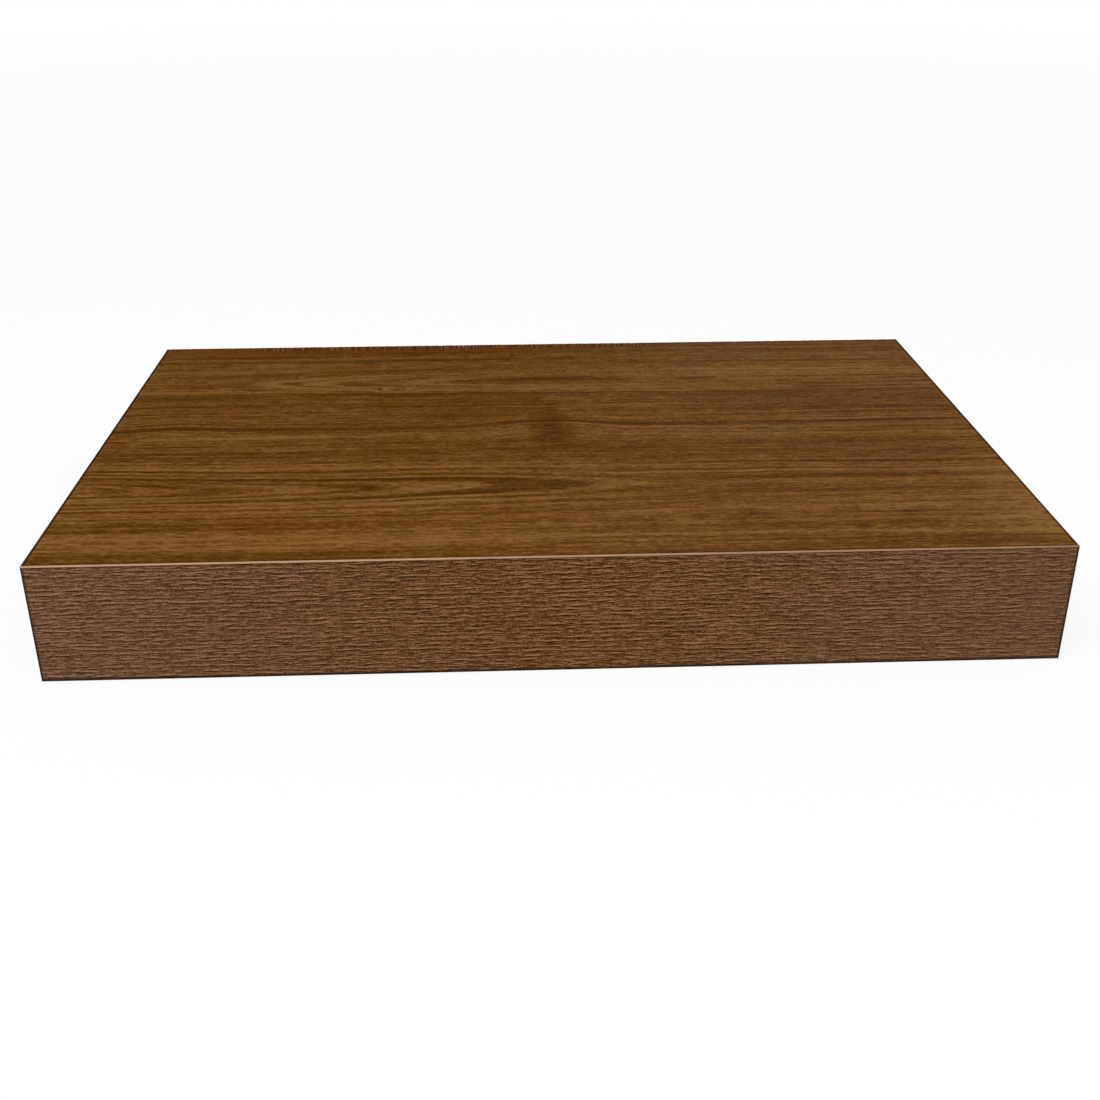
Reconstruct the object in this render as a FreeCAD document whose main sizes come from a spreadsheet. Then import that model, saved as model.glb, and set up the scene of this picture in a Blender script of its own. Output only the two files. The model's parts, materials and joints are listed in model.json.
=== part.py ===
import FreeCAD, Part
import math
import os
import Sketcher
from FreeCAD import Vector

# Floating wall shelf, 400 x 260 x 50 mm: a hollow board-on-frame shelf on a hidden steel bracket.
# Millimetres, +Z up, +X along the wall to the right, +Y into the wall.
# The origin is the centre of the wall plate's back face, so the wall is the plane Y = 0.

# Driving dimensions. Each becomes a cell of the sheet, under this name.
SIZES = {
    "shelf_length": 400,  # along the wall, over both side bands
    "shelf_depth": 260,  # from the wall to the front band's face
    "shelf_thickness": 50,  # over both decor foils
    "foil_thickness": 0.3,  # printed decor foil
    "skin_thickness": 2.7,  # hardboard under the foil
    "front_band_thickness": 1,
    "front_band_radius": 0.6,  # milled edges of the front band
    "side_band_thickness": 0.5,
    "side_band_radius": 0.3,
    "rail_width": 22,  # front rail and side rails
    "back_rail_width": 28,
    "rib_width": 40,  # the two bored ribs that take the rods
    "dowel_diameter": 6,
    "dowel_chamfer": 0.8,
    "dowel_cover": 6,  # wood left behind a dowel hole in a side or front rail
    "dowel_hole_clearance": 0.05,  # radial
    "dowel_end_clearance": 1,  # glue space beyond each end of a dowel
    "rail_dowel_spacing": 22,  # between the upper and the lower dowel of a side rail's joints
    "honeycomb_cell": 16,  # across flats, before the cells are stretched to fit their bay
    "honeycomb_paper": 0.4,
    "plate_thickness": 3,
    "plate_corner_radius": 3,
    "plate_face_gap": 1,  # between the plate and the back rail
    "plate_end_gap": 7.5,  # between the plate and each side rail
    "plate_edge_gap": 2,  # between the plate and each skin
    "screw_hole_diameter": 5,  # for 4.5 mm countersunk wall screws
    "screw_head_diameter": 9,
    "outer_screw_inset": 20,  # from the plate's end
    "inner_screw_offset": 50,  # from the rod's axis, towards the plate's middle
    "rod_diameter": 12,
    "rod_length": 150,  # in front of the plate
    "rod_inset": 90,  # from the shelf's end to the rod's axis
    "rod_chamfer": 2,
    "rod_bore_clearance": 0.25,  # radial
    "rod_end_clearance": 5,  # beyond the rod's tip
    "spigot_diameter": 8,  # turned end of the rod, set in the plate
    "spigot_clearance": 0.05,  # radial
    "weld_size": 2,
    "weld_clearance": 0.5,  # between the weld and the bore's mouth
    "lock_screw_diameter": 6,
    "lock_screw_gap": 0.2,  # between the screw's tip and the rod
    "lock_screw_recess": 3.8,  # from the back rail's underside up to the screw's tail
    "lock_screw_chamfer": 0.8,
    "lock_thread_clearance": 0.05,  # radial, screw in insert
    "lock_tip_clearance": 0.3,  # radial, screw in the bare wood beyond the insert
    "hex_socket_width": 3,
    "hex_socket_depth": 4,
    "insert_wall": 2,
    "insert_clearance": 0.05,  # radial, insert in wood
    "insert_cover": 5.75,  # wood left between the insert and the rod's bore
    "key_hole_clearance": 0.5,  # radial, between the lock screw and the hole in the underside
}

# Lengths that several pieces share, as expressions on the sheet.
CORE_LENGTH = "(Sizes.shelf_length - 2 * Sizes.side_band_thickness)"
CORE_DEPTH = "(Sizes.shelf_depth - Sizes.front_band_thickness)"
CORE_HEIGHT = "(Sizes.shelf_thickness - 2 * Sizes.foil_thickness - 2 * Sizes.skin_thickness)"
SIDE_RAIL_LENGTH = f"({CORE_DEPTH} - Sizes.rail_width)"
BACK_RAIL_LENGTH = f"({CORE_LENGTH} - 2 * Sizes.rail_width)"
PLATE_RECESS = "(Sizes.plate_thickness + Sizes.plate_face_gap)"
PLATE_LENGTH = f"({BACK_RAIL_LENGTH} - 2 * Sizes.plate_end_gap)"
PLATE_HEIGHT = f"({CORE_HEIGHT} - 2 * Sizes.plate_edge_gap)"
RIB_LENGTH = f"({SIDE_RAIL_LENGTH} - {PLATE_RECESS} - Sizes.back_rail_width)"
ROD_REACH = "(Sizes.plate_thickness + Sizes.rod_length)"
ROD_BORE = "(Sizes.rod_diameter + 2 * Sizes.rod_bore_clearance)"
DOWEL_HALF = "(Sizes.rail_width - Sizes.dowel_cover - Sizes.dowel_end_clearance)"
DOWEL_HOLE_DEPTH = "(Sizes.rail_width - Sizes.dowel_cover)"
DOWEL_HOLE = "(Sizes.dowel_diameter + 2 * Sizes.dowel_hole_clearance)"
INSERT_DIAMETER = "(Sizes.lock_screw_diameter + 2 * Sizes.insert_wall)"
INSERT_LENGTH = f"({CORE_HEIGHT} / 2 - {ROD_BORE} / 2 - Sizes.insert_cover)"
LOCK_SCREW_REACH = f"({CORE_HEIGHT} / 2 - Sizes.rod_diameter / 2 - Sizes.lock_screw_gap)"

# Places in the shelf's frame.
MID_CORE_Y = f"(-{CORE_DEPTH} / 2)"
FRONT_RAIL_Y = f"(-{SIDE_RAIL_LENGTH} - Sizes.rail_width / 2)"
SIDE_RAIL_X = f"({CORE_LENGTH} / 2 - Sizes.rail_width / 2)"
SIDE_RAIL_Y = f"(-{SIDE_RAIL_LENGTH} / 2)"
BACK_RAIL_Y = f"(-{PLATE_RECESS} - Sizes.back_rail_width / 2)"
RIB_JOINT_Y = f"(-{PLATE_RECESS} - Sizes.back_rail_width)"
RIB_Y = f"({RIB_JOINT_Y} - {RIB_LENGTH} / 2)"
ROD_X = "(Sizes.shelf_length / 2 - Sizes.rod_inset)"
UNDER_CORE_Z = f"(-{CORE_HEIGHT} / 2)"
MID_CORE_Z = f"({CORE_HEIGHT} / 2)"  # from the underside of the core

# A rib's dowels stand midway between the rod's bore and the rib's sides.
RIB_DOWEL_X = f"({ROD_BORE} / 4 + Sizes.rib_width / 4)"
RIB_DOWELS = [f"{side}{ROD_X} {step} {RIB_DOWEL_X}" for side in ("", "-") for step in "-+"]
RAIL_DOWEL_Z = "(Sizes.rail_dowel_spacing / 2)"
RAIL_DOWEL_LEVELS = [f"{MID_CORE_Z} {step} {RAIL_DOWEL_Z}" for step in "-+"]

ROUNDING_LIMIT = 0.9  # share of a band's thickness that its rounded edge may take
COUNTERSINK_ANGLE = 90  # degrees
FULL_TURN = 360  # degrees
HEXAGON = 6  # corners
GUESS = 10  # size of a sketch's shapes before their dimensions take hold
TOUCH = 1e-6  # lengths under this count as nothing

doc = FreeCAD.newDocument("FloatingShelf")
sheet = doc.addObject("Spreadsheet::Sheet", "Sizes")
for row, (alias, size) in enumerate(SIZES.items(), 1):
    sheet.set(f"A{row}", alias)
    sheet.set(f"B{row}", str(size))
    sheet.setAlias(f"B{row}", alias)
doc.recompute()

pieces = []


def new_body(label, x="0", y="0", z="0"):
    """An empty body whose origin stands at the place that the expressions give."""
    body = doc.addObject("PartDesign::Body", label)
    body.Label = label
    for axis, place in (("x", x), ("y", y), ("z", z)):
        body.setExpression(f"Placement.Base.{axis}", place)
    pieces.append(body)
    return body


def new_sketch(body, name, plane, offset="0"):
    """A sketch on one of the body's own origin planes, moved along the plane's normal.

    XY has its normal along +Z, XZ along -Y with the sketch's second axis up, and YZ along +X.
    """
    sketch = body.newObject("Sketcher::SketchObject", name)
    origin_plane = next(f for f in body.Origin.OriginFeatures if f.Role == plane + "_Plane")
    sketch.AttachmentSupport = [(origin_plane, "")]
    sketch.MapMode = "FlatFace"
    sketch.setExpression("AttachmentOffset.Base.z", offset)
    return sketch


def bind(sketch, kind, where, guess, expression):
    """A dimension of the sketch that follows the expression. The guess only starts the solver."""
    index = sketch.addConstraint(Sketcher.Constraint(kind, *where, guess))
    sketch.setExpression(f"Constraints[{index}]", expression)


def bind_point(sketch, point, guess, place):
    """Holds a point of the sketch at a pair of expressions in the sketch's own axes."""
    for kind, start, expression in zip(("DistanceX", "DistanceY"), guess, place):
        bind(sketch, kind, (-1, 1, *point), start, expression)


def add_loop(sketch, corners):
    """A closed loop of lines through the corners. Returns the first line's index."""
    first = sketch.GeometryCount
    count = len(corners)
    for i, corner in enumerate(corners):
        sketch.addGeometry(Part.LineSegment(corner, corners[(i + 1) % count]), False)
    for i in range(count):
        following = first + (i + 1) % count
        sketch.addConstraint(Sketcher.Constraint("Coincident", first + i, 2, following, 1))
    return first


def ring_of_points(count, centre=0):
    """Points evenly spaced on a circle, as a first guess at a loop's corners."""
    turns = [math.radians(FULL_TURN * i / count) for i in range(count)]
    return [Vector(centre + GUESS * math.cos(t), GUESS * math.sin(t), 0) for t in turns]


def add_rectangle(sketch, width, height):
    """A rectangle centred on the sketch's origin."""
    corners = [Vector(x * GUESS, y * GUESS, 0) for x, y in ((-1, -1), (1, -1), (1, 1), (-1, 1))]
    first = add_loop(sketch, corners)
    for i in (0, 2):
        sketch.addConstraint(Sketcher.Constraint("Horizontal", first + i))
        sketch.addConstraint(Sketcher.Constraint("Vertical", first + i + 1))
    sketch.addConstraint(Sketcher.Constraint("Symmetric", first, 1, first + 1, 2, -1, 1))
    bind(sketch, "DistanceX", (first, 1, first, 2), 2 * GUESS, width)
    bind(sketch, "DistanceY", (first + 1, 1, first + 1, 2), 2 * GUESS, height)


def add_circles(sketch, centres, diameter):
    """One circle for each centre, a pair of expressions in the sketch's own axes."""
    for i, centre in enumerate(centres):
        guess = Vector(i * GUESS, GUESS, 0)
        circle = sketch.addGeometry(Part.Circle(guess, Vector(0, 0, 1), 1), False)
        bind_point(sketch, (circle, 3), guess, centre)
        bind(sketch, "Diameter", (circle,), 2, diameter)


def add_hexagon(sketch, across_flats):
    """A regular hexagon round the sketch's origin."""
    first = add_loop(sketch, ring_of_points(HEXAGON))
    ring = sketch.addGeometry(Part.Circle(Vector(0, 0, 0), Vector(0, 0, 1), GUESS), True)
    sketch.addConstraint(Sketcher.Constraint("Coincident", ring, 3, -1, 1))
    for i in range(HEXAGON):
        sketch.addConstraint(Sketcher.Constraint("PointOnObject", first + i, 1, ring))
    for i in range(1, HEXAGON):
        sketch.addConstraint(Sketcher.Constraint("Equal", first, first + i))
    sketch.addConstraint(Sketcher.Constraint("Horizontal", first + 1))
    bind(sketch, "Diameter", (ring,), 2 * GUESS, f"{across_flats} / cos(30 deg)")


def add_outline(sketch, corners):
    """A closed loop of lines through corners, each a pair of expressions. It lies right of the V axis."""
    guesses = ring_of_points(len(corners), centre=2 * GUESS)
    first = add_loop(sketch, guesses)
    for i, (corner, guess) in enumerate(zip(corners, guesses)):
        bind_point(sketch, (first + i, 1), guess, corner)


def pad(body, sketch, length, back=False, midplane=False):
    """Extrudes the sketch along its normal, or the other way, or half to each side."""
    feature = body.newObject("PartDesign::Pad", sketch.Name + "_pad")
    feature.Profile = sketch
    feature.Reversed = back
    feature.Midplane = midplane
    feature.setExpression("Length", length)
    return feature


def drill(body, name, plane, offset, centres, diameter, depth, along_normal=False):
    """Round holes of one diameter. They run against the plane's normal unless along_normal is set."""
    sketch = new_sketch(body, name, plane, offset)
    add_circles(sketch, centres, diameter)
    cut = body.newObject("PartDesign::Pocket", name + "_cut")
    cut.Profile = sketch
    cut.Reversed = along_normal
    cut.setExpression("Length", depth)
    return cut


def dress_edges(body, kind, base, name, size, chosen):
    """A fillet or chamfer on the edges of the base feature that chosen(edge) picks out."""
    doc.recompute()
    picked = [f"Edge{i}" for i, edge in enumerate(base.Shape.Edges, 1) if chosen(edge)]
    dressing = body.newObject(f"PartDesign::{kind}", name)
    dressing.Base = (base, picked)
    dressing.setExpression("Radius" if kind == "Fillet" else "Size", size)
    body.Tip = dressing
    return dressing


def is_round(edge):
    return isinstance(edge.Curve, Part.Circle)


def board(label, length, depth, height, x="0", y="0", z="0"):
    """A plain board centred on its place in X and Y, with its underside at z."""
    body = new_body(label, x, y, z)
    outline = new_sketch(body, label + "_outline", "XY")
    add_rectangle(outline, length, depth)
    pad(body, outline, height)
    return body


def mirrored_pair(x, other):
    """The centres at +x and at -x, with the same second coordinate."""
    return [(x, other), (f"-{x}", other)]


def make_skins():
    """Decor foil on hardboard, above and below. The lower pair has a key hole under each lock screw."""
    outside = "Sizes.shelf_thickness / 2"
    under_foil = f"({outside} - Sizes.foil_thickness)"
    size = (CORE_LENGTH, CORE_DEPTH)
    board("top_foil", *size, "Sizes.foil_thickness", y=MID_CORE_Y, z=under_foil)
    board("top_skin", *size, "Sizes.skin_thickness", y=MID_CORE_Y, z=MID_CORE_Z)
    foil = board("bottom_foil", *size, "Sizes.foil_thickness", y=MID_CORE_Y, z=f"-{outside}")
    skin = board("bottom_skin", *size, "Sizes.skin_thickness", y=MID_CORE_Y, z=f"-{under_foil}")
    key_holes = mirrored_pair(ROD_X, f"{BACK_RAIL_Y} - {MID_CORE_Y}")
    diameter = "Sizes.lock_screw_diameter + 2 * Sizes.key_hole_clearance"
    for body, depth in ((foil, "Sizes.foil_thickness"), (skin, "Sizes.skin_thickness")):
        drill(body, body.Label + "_key_holes", "XY", depth, key_holes, diameter, depth)


def make_front_rail():
    rail = board(
        "front_rail", CORE_LENGTH, "Sizes.rail_width", CORE_HEIGHT, y=FRONT_RAIL_Y, z=UNDER_CORE_Z
    )
    holes = [(x, MID_CORE_Z) for x in RIB_DOWELS]
    for level in RAIL_DOWEL_LEVELS:
        holes += mirrored_pair(SIDE_RAIL_X, level)
    back = "-Sizes.rail_width / 2"
    drill(rail, "front_rail_dowel_holes", "XZ", back, holes, DOWEL_HOLE, DOWEL_HOLE_DEPTH, True)


def make_side_rail(side, sign):
    """A side rail, from the front rail back to the wall. The sign is "-" on the left."""
    label = side + "_rail"
    rail = board(
        label,
        "Sizes.rail_width",
        SIDE_RAIL_LENGTH,
        CORE_HEIGHT,
        f"{sign}{SIDE_RAIL_X}",
        SIDE_RAIL_Y,
        UNDER_CORE_Z,
    )
    front = f"{SIDE_RAIL_LENGTH} / 2"
    holes = [("0", level) for level in RAIL_DOWEL_LEVELS]
    drill(rail, label + "_front_holes", "XZ", front, holes, DOWEL_HOLE, DOWEL_HOLE_DEPTH)
    on_right = sign == ""
    inner = f"{'-' if on_right else ''}Sizes.rail_width / 2"
    holes = [(f"{BACK_RAIL_Y} - {SIDE_RAIL_Y}", level) for level in RAIL_DOWEL_LEVELS]
    drill(rail, label + "_inner_holes", "YZ", inner, holes, DOWEL_HOLE, DOWEL_HOLE_DEPTH, on_right)


def make_back_rail():
    """Bored through for the rods, with wide mouths for their welds, and from below for the locks."""
    rail = board(
        "back_rail",
        BACK_RAIL_LENGTH,
        "Sizes.back_rail_width",
        CORE_HEIGHT,
        y=BACK_RAIL_Y,
        z=UNDER_CORE_Z,
    )
    half = "Sizes.back_rail_width / 2"
    rods = mirrored_pair(ROD_X, MID_CORE_Z)
    bores = drill(rail, "rod_bores", "XZ", f"-{half}", rods, ROD_BORE, "2 * " + half, True)
    mouth = "Sizes.weld_size + Sizes.weld_clearance"
    dress_edges(
        rail,
        "Chamfer",
        bores,
        "weld_mouths",
        mouth,
        lambda edge: is_round(edge) and edge.CenterOfMass.y > bores.Shape.BoundBox.Center.y,
    )
    holes = [(x, MID_CORE_Z) for x in RIB_DOWELS]
    drill(rail, "rib_dowel_holes", "XZ", half, holes, DOWEL_HOLE, DOWEL_HOLE_DEPTH)
    holes = [("0", level) for level in RAIL_DOWEL_LEVELS]
    for name, sign, along_normal in (("left_end", "-", True), ("right_end", "", False)):
        end = f"{sign}{BACK_RAIL_LENGTH} / 2"
        drill(rail, name + "_holes", "YZ", end, holes, DOWEL_HOLE, DOWEL_HOLE_DEPTH, along_normal)
    locks = mirrored_pair(ROD_X, "0")
    insert_hole = f"{INSERT_DIAMETER} + 2 * Sizes.insert_clearance"
    drill(rail, "insert_holes", "XY", "0", locks, insert_hole, INSERT_LENGTH, True)
    tip_hole = "Sizes.lock_screw_diameter + 2 * Sizes.lock_tip_clearance"
    drill(rail, "lock_tip_holes", "XY", "0", locks, tip_hole, MID_CORE_Z, True)


def make_rib(side, sign):
    """A rib between the back rail and the front rail, with a blind bore for its rod."""
    label = side + "_rib"
    rib = board(
        label, "Sizes.rib_width", RIB_LENGTH, CORE_HEIGHT, f"{sign}{ROD_X}", RIB_Y, UNDER_CORE_Z
    )
    front = f"{RIB_LENGTH} / 2"
    bore_depth = f"{ROD_REACH} + Sizes.rod_end_clearance + {RIB_JOINT_Y}"
    rod = [("0", MID_CORE_Z)]
    dowels = mirrored_pair(RIB_DOWEL_X, MID_CORE_Z)
    drill(rib, label + "_rod_bore", "XZ", f"-{front}", rod, ROD_BORE, bore_depth, True)
    drill(rib, label + "_back_holes", "XZ", f"-{front}", dowels, DOWEL_HOLE, DOWEL_HOLE_DEPTH, True)
    drill(rib, label + "_front_holes", "XZ", front, dowels, DOWEL_HOLE, DOWEL_HOLE_DEPTH)


def make_dowels(label, plane, centres, x="0", y="0"):
    """Glued beech dowels that cross one line of joints, half their length in either piece."""
    body = new_body(label, x, y)
    body.AllowCompound = True
    section = new_sketch(body, label + "_section", plane)
    add_circles(section, centres, "Sizes.dowel_diameter")
    pins = pad(body, section, f"2 * {DOWEL_HALF}", midplane=True)
    dress_edges(body, "Chamfer", pins, label + "_ends", "Sizes.dowel_chamfer", is_round)


def make_all_dowels():
    front = [(x, "0") for x in RIB_DOWELS]
    for level in (RAIL_DOWEL_Z, f"-{RAIL_DOWEL_Z}"):
        front += mirrored_pair(SIDE_RAIL_X, level)
    make_dowels("front_dowels", "XZ", front, y=f"-{SIDE_RAIL_LENGTH}")
    make_dowels("rib_dowels", "XZ", [(x, "0") for x in RIB_DOWELS], y=RIB_JOINT_Y)
    corner = [(BACK_RAIL_Y, RAIL_DOWEL_Z), (BACK_RAIL_Y, f"-{RAIL_DOWEL_Z}")]
    make_dowels("left_corner_dowels", "YZ", corner, x=f"-{BACK_RAIL_LENGTH} / 2")
    make_dowels("right_corner_dowels", "YZ", corner, x=f"{BACK_RAIL_LENGTH} / 2")


def make_front_band():
    """A full-height band over the front and the side bands' ends. Its edges are milled round."""
    band = new_body("front_edge_band", y=f"-{CORE_DEPTH}")
    face = new_sketch(band, "front_band_face", "XZ")
    add_rectangle(face, "Sizes.shelf_length", "Sizes.shelf_thickness")
    strip = pad(band, face, "Sizes.front_band_thickness")
    dress_edges(
        band,
        "Fillet",
        strip,
        "front_band_edges",
        f"min(Sizes.front_band_radius; {ROUNDING_LIMIT} * Sizes.front_band_thickness)",
        lambda edge: edge.BoundBox.YMax < strip.Shape.BoundBox.Center.y,
    )


def make_side_band(side, sign):
    """A thin band over one end, with its long outer edges milled round."""
    label = side + "_edge_band"
    band = new_body(label, f"{sign}{CORE_LENGTH} / 2", MID_CORE_Y)
    face = new_sketch(band, label + "_face", "YZ")
    add_rectangle(face, CORE_DEPTH, "Sizes.shelf_thickness")
    strip = pad(band, face, "Sizes.side_band_thickness", back=sign == "-")
    outward = -1 if sign == "-" else 1
    dress_edges(
        band,
        "Fillet",
        strip,
        label + "_edges",
        f"min(Sizes.side_band_radius; {ROUNDING_LIMIT} * Sizes.side_band_thickness)",
        lambda edge: edge.BoundBox.ZLength < TOUCH
        and edge.BoundBox.XLength < TOUCH
        and outward * (edge.CenterOfMass.x - strip.Shape.BoundBox.Center.x) > 0,
    )


def make_wall_plate():
    """The steel strip that is screwed to the wall and holds both rods."""
    plate = new_body("wall_plate")
    face = new_sketch(plate, "plate_face", "XZ")
    add_rectangle(face, PLATE_LENGTH, PLATE_HEIGHT)
    strip = pad(plate, face, "Sizes.plate_thickness")
    dress_edges(
        plate,
        "Fillet",
        strip,
        "plate_corners",
        "Sizes.plate_corner_radius",
        lambda edge: edge.BoundBox.YLength > TOUCH,
    )
    spigot_hole = "Sizes.spigot_diameter + 2 * Sizes.spigot_clearance"
    rods = mirrored_pair(ROD_X, "0")
    drill(plate, "spigot_holes", "XZ", "0", rods, spigot_hole, "Sizes.plate_thickness", True)
    marks = new_sketch(plate, "screw_marks", "XZ", "Sizes.plate_thickness")
    screws = mirrored_pair(f"({ROD_X} - Sizes.inner_screw_offset)", "0")
    screws += mirrored_pair(f"({PLATE_LENGTH} / 2 - Sizes.outer_screw_inset)", "0")
    add_circles(marks, screws, "Sizes.screw_hole_diameter")
    holes = plate.newObject("PartDesign::Hole", "screw_holes")
    holes.Profile = marks
    doc.recompute()
    holes.setExpression("Diameter", "Sizes.screw_hole_diameter")
    holes.DepthType = "ThroughAll"
    holes.HoleCutType = "Countersink"
    holes.HoleCutCustomValues = True
    holes.HoleCutCountersinkAngle = COUNTERSINK_ANGLE
    holes.setExpression("HoleCutDiameter", "Sizes.screw_head_diameter")
    plate.Tip = holes


def make_rod(side, sign):
    """A rod turned from bar: a spigot through the plate, a weld at the shoulder and a bevelled tip."""
    rod = new_body(side + "_rod", x=f"{sign}{ROD_X}")
    half = new_sketch(rod, side + "_rod_profile", "XY")
    radius = "Sizes.rod_diameter / 2"
    spigot = "Sizes.spigot_diameter / 2"
    shoulder = "-Sizes.plate_thickness"
    tip = f"-{ROD_REACH}"
    add_outline(
        half,
        [
            ("0", "0"),
            (spigot, "0"),
            (spigot, shoulder),
            (f"{radius} + Sizes.weld_size", shoulder),
            (radius, f"{shoulder} - Sizes.weld_size"),
            (radius, f"{tip} + Sizes.rod_chamfer"),
            (f"{radius} - Sizes.rod_chamfer", tip),
            ("0", tip),
        ],
    )
    turned = rod.newObject("PartDesign::Revolution", side + "_rod_turned")
    turned.Profile = half
    turned.ReferenceAxis = (half, ["V_Axis"])
    turned.Angle = FULL_TURN


def make_lock(side, sign):
    """A threaded insert in the back rail's underside, and the set screw in it that clamps the rod."""
    x = f"{sign}{ROD_X}"
    insert = new_body(side + "_lock_insert", x, BACK_RAIL_Y, UNDER_CORE_Z)
    section = new_sketch(insert, side + "_insert_section", "XY")
    thread = "Sizes.lock_screw_diameter + 2 * Sizes.lock_thread_clearance"
    for diameter in (INSERT_DIAMETER, thread):
        add_circles(section, [("0", "0")], diameter)
    pad(insert, section, INSERT_LENGTH)

    tail = f"{UNDER_CORE_Z} + Sizes.lock_screw_recess"
    screw = new_body(side + "_lock_screw", x, BACK_RAIL_Y, tail)
    section = new_sketch(screw, side + "_screw_section", "XY")
    add_circles(section, [("0", "0")], "Sizes.lock_screw_diameter")
    shank = pad(screw, section, f"{LOCK_SCREW_REACH} - Sizes.lock_screw_recess")
    chamfer = "Sizes.lock_screw_chamfer"
    dress_edges(screw, "Chamfer", shank, side + "_screw_ends", chamfer, is_round)
    socket = new_sketch(screw, side + "_hex_socket", "XY")
    add_hexagon(socket, "Sizes.hex_socket_width")
    cut = screw.newObject("PartDesign::Pocket", side + "_hex_socket_cut")
    cut.Profile = socket
    cut.Reversed = True
    cut.setExpression("Length", "Sizes.hex_socket_depth")


def clipped(corners, half_width, half_depth):
    """The part of a convex outline that lies inside a rectangle round the origin."""
    sides = ((0, 1, half_width), (0, -1, half_width), (1, 1, half_depth), (1, -1, half_depth))
    for axis, sign, limit in sides:
        kept = []
        for here, following in zip(corners, corners[1:] + corners[:1]):
            beyond = sign * here[axis] - limit
            beyond_next = sign * following[axis] - limit
            if beyond <= 0:
                kept.append(here)
            if beyond * beyond_next < 0:
                kept.append(here + (following - here) * (beyond / (beyond - beyond_next)))
        corners = kept
    return corners


def closed_wire(corners):
    return Part.makePolygon([*corners, corners[0]])


def honeycomb_cells(width, depth):
    """Wires of the hexagons that fill a bay centred on the origin, with paper left between and round them.

    Whole columns and rows fit the bay, every second row stands half a column aside, and the cells that
    cross the bay's sides are cut off there.
    """
    paper = sheet.honeycomb_paper
    columns = max(1, round(width / sheet.honeycomb_cell))
    rows = max(1, round(depth / (sheet.honeycomb_cell * math.cos(math.radians(30)))))
    column_step = width / columns
    row_step = depth / rows
    reach_x = (column_step - paper) / 2
    reach_y = row_step * 2 / 3 - paper / math.sqrt(3)
    hexagon = ((0, 1), (1, 0.5), (1, -0.5), (0, -1), (-1, -0.5), (-1, 0.5))
    cells = []
    for row in range(-1, rows + 1):
        y = (row + 0.5) * row_step - depth / 2
        for column in range(-1, columns + 1):
            x = (column + (row % 2) / 2 + 0.5) * column_step - width / 2
            corners = [Vector(x + i * reach_x, y + j * reach_y, 0) for i, j in hexagon]
            corners = clipped(corners, width / 2 - paper, depth / 2 - paper)
            if len(corners) > 2 and Part.Face(closed_wire(corners)).Area > column_step * paper:
                cells.append(closed_wire(corners))
    return cells


def make_honeycomb(label, width, x):
    """Expanded kraft paper that fills one bay of the frame between the skins."""
    back = sheet.plate_thickness + sheet.plate_face_gap + sheet.back_rail_width
    depth = sheet.shelf_depth - sheet.front_band_thickness - sheet.rail_width - back
    height = sheet.shelf_thickness - 2 * (sheet.foil_thickness + sheet.skin_thickness)
    rim = [Vector(i * width / 2, j * depth / 2, 0) for i, j in ((-1, -1), (1, -1), (1, 1), (-1, 1))]
    net = Part.Face([closed_wire(rim), *honeycomb_cells(width, depth)])
    core = doc.addObject("Part::Feature", label)
    core.Label = label
    core.Shape = net.extrude(Vector(0, 0, height))
    core.Placement.Base = Vector(x, -back - depth / 2, -height / 2)
    pieces.append(core)


def make_honeycombs():
    """One core between the ribs, and one between each rib and its side rail."""
    rod_x = sheet.shelf_length / 2 - sheet.rod_inset
    rib_outside = rod_x + sheet.rib_width / 2
    rail_inside = sheet.shelf_length / 2 - sheet.side_band_thickness - sheet.rail_width
    side_width = rail_inside - rib_outside
    side_x = rib_outside + side_width / 2
    make_honeycomb("left_honeycomb", side_width, -side_x)
    make_honeycomb("centre_honeycomb", 2 * rod_x - sheet.rib_width, 0)
    make_honeycomb("right_honeycomb", side_width, side_x)


def check_document():
    """Stops with a message if any object has failed or any piece is not sound."""
    doc.recompute()
    failed = [item.Label for item in doc.Objects if {"Invalid", "Error"} & set(item.State)]
    if failed:
        raise RuntimeError(f"failed objects: {failed}")
    for piece in pieces:
        if piece.Shape.isNull() or not piece.Shape.isValid() or not piece.Shape.Solids:
            raise RuntimeError(f"{piece.Label} has no sound solid")


make_skins()
make_front_rail()
make_back_rail()
make_all_dowels()
make_honeycombs()
make_front_band()
make_wall_plate()
for side, sign in (("left", "-"), ("right", "")):
    make_side_rail(side, sign)
    make_rib(side, sign)
    make_side_band(side, sign)
    make_rod(side, sign)
    make_lock(side, sign)
check_document()

os.makedirs("parts", exist_ok=True)
for piece in pieces:
    piece.Shape.exportStep(f"parts/{piece.Label}.step")
    print(f"{piece.Label}: {len(piece.Shape.Solids)} solid(s), {piece.Shape.Volume:.0f} mm3")
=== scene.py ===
import json
import math

import bmesh
import bpy
import numpy as np
from bpy.props import FloatProperty, FloatVectorProperty, IntProperty, PointerProperty
from mathutils import Matrix, Vector

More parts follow.
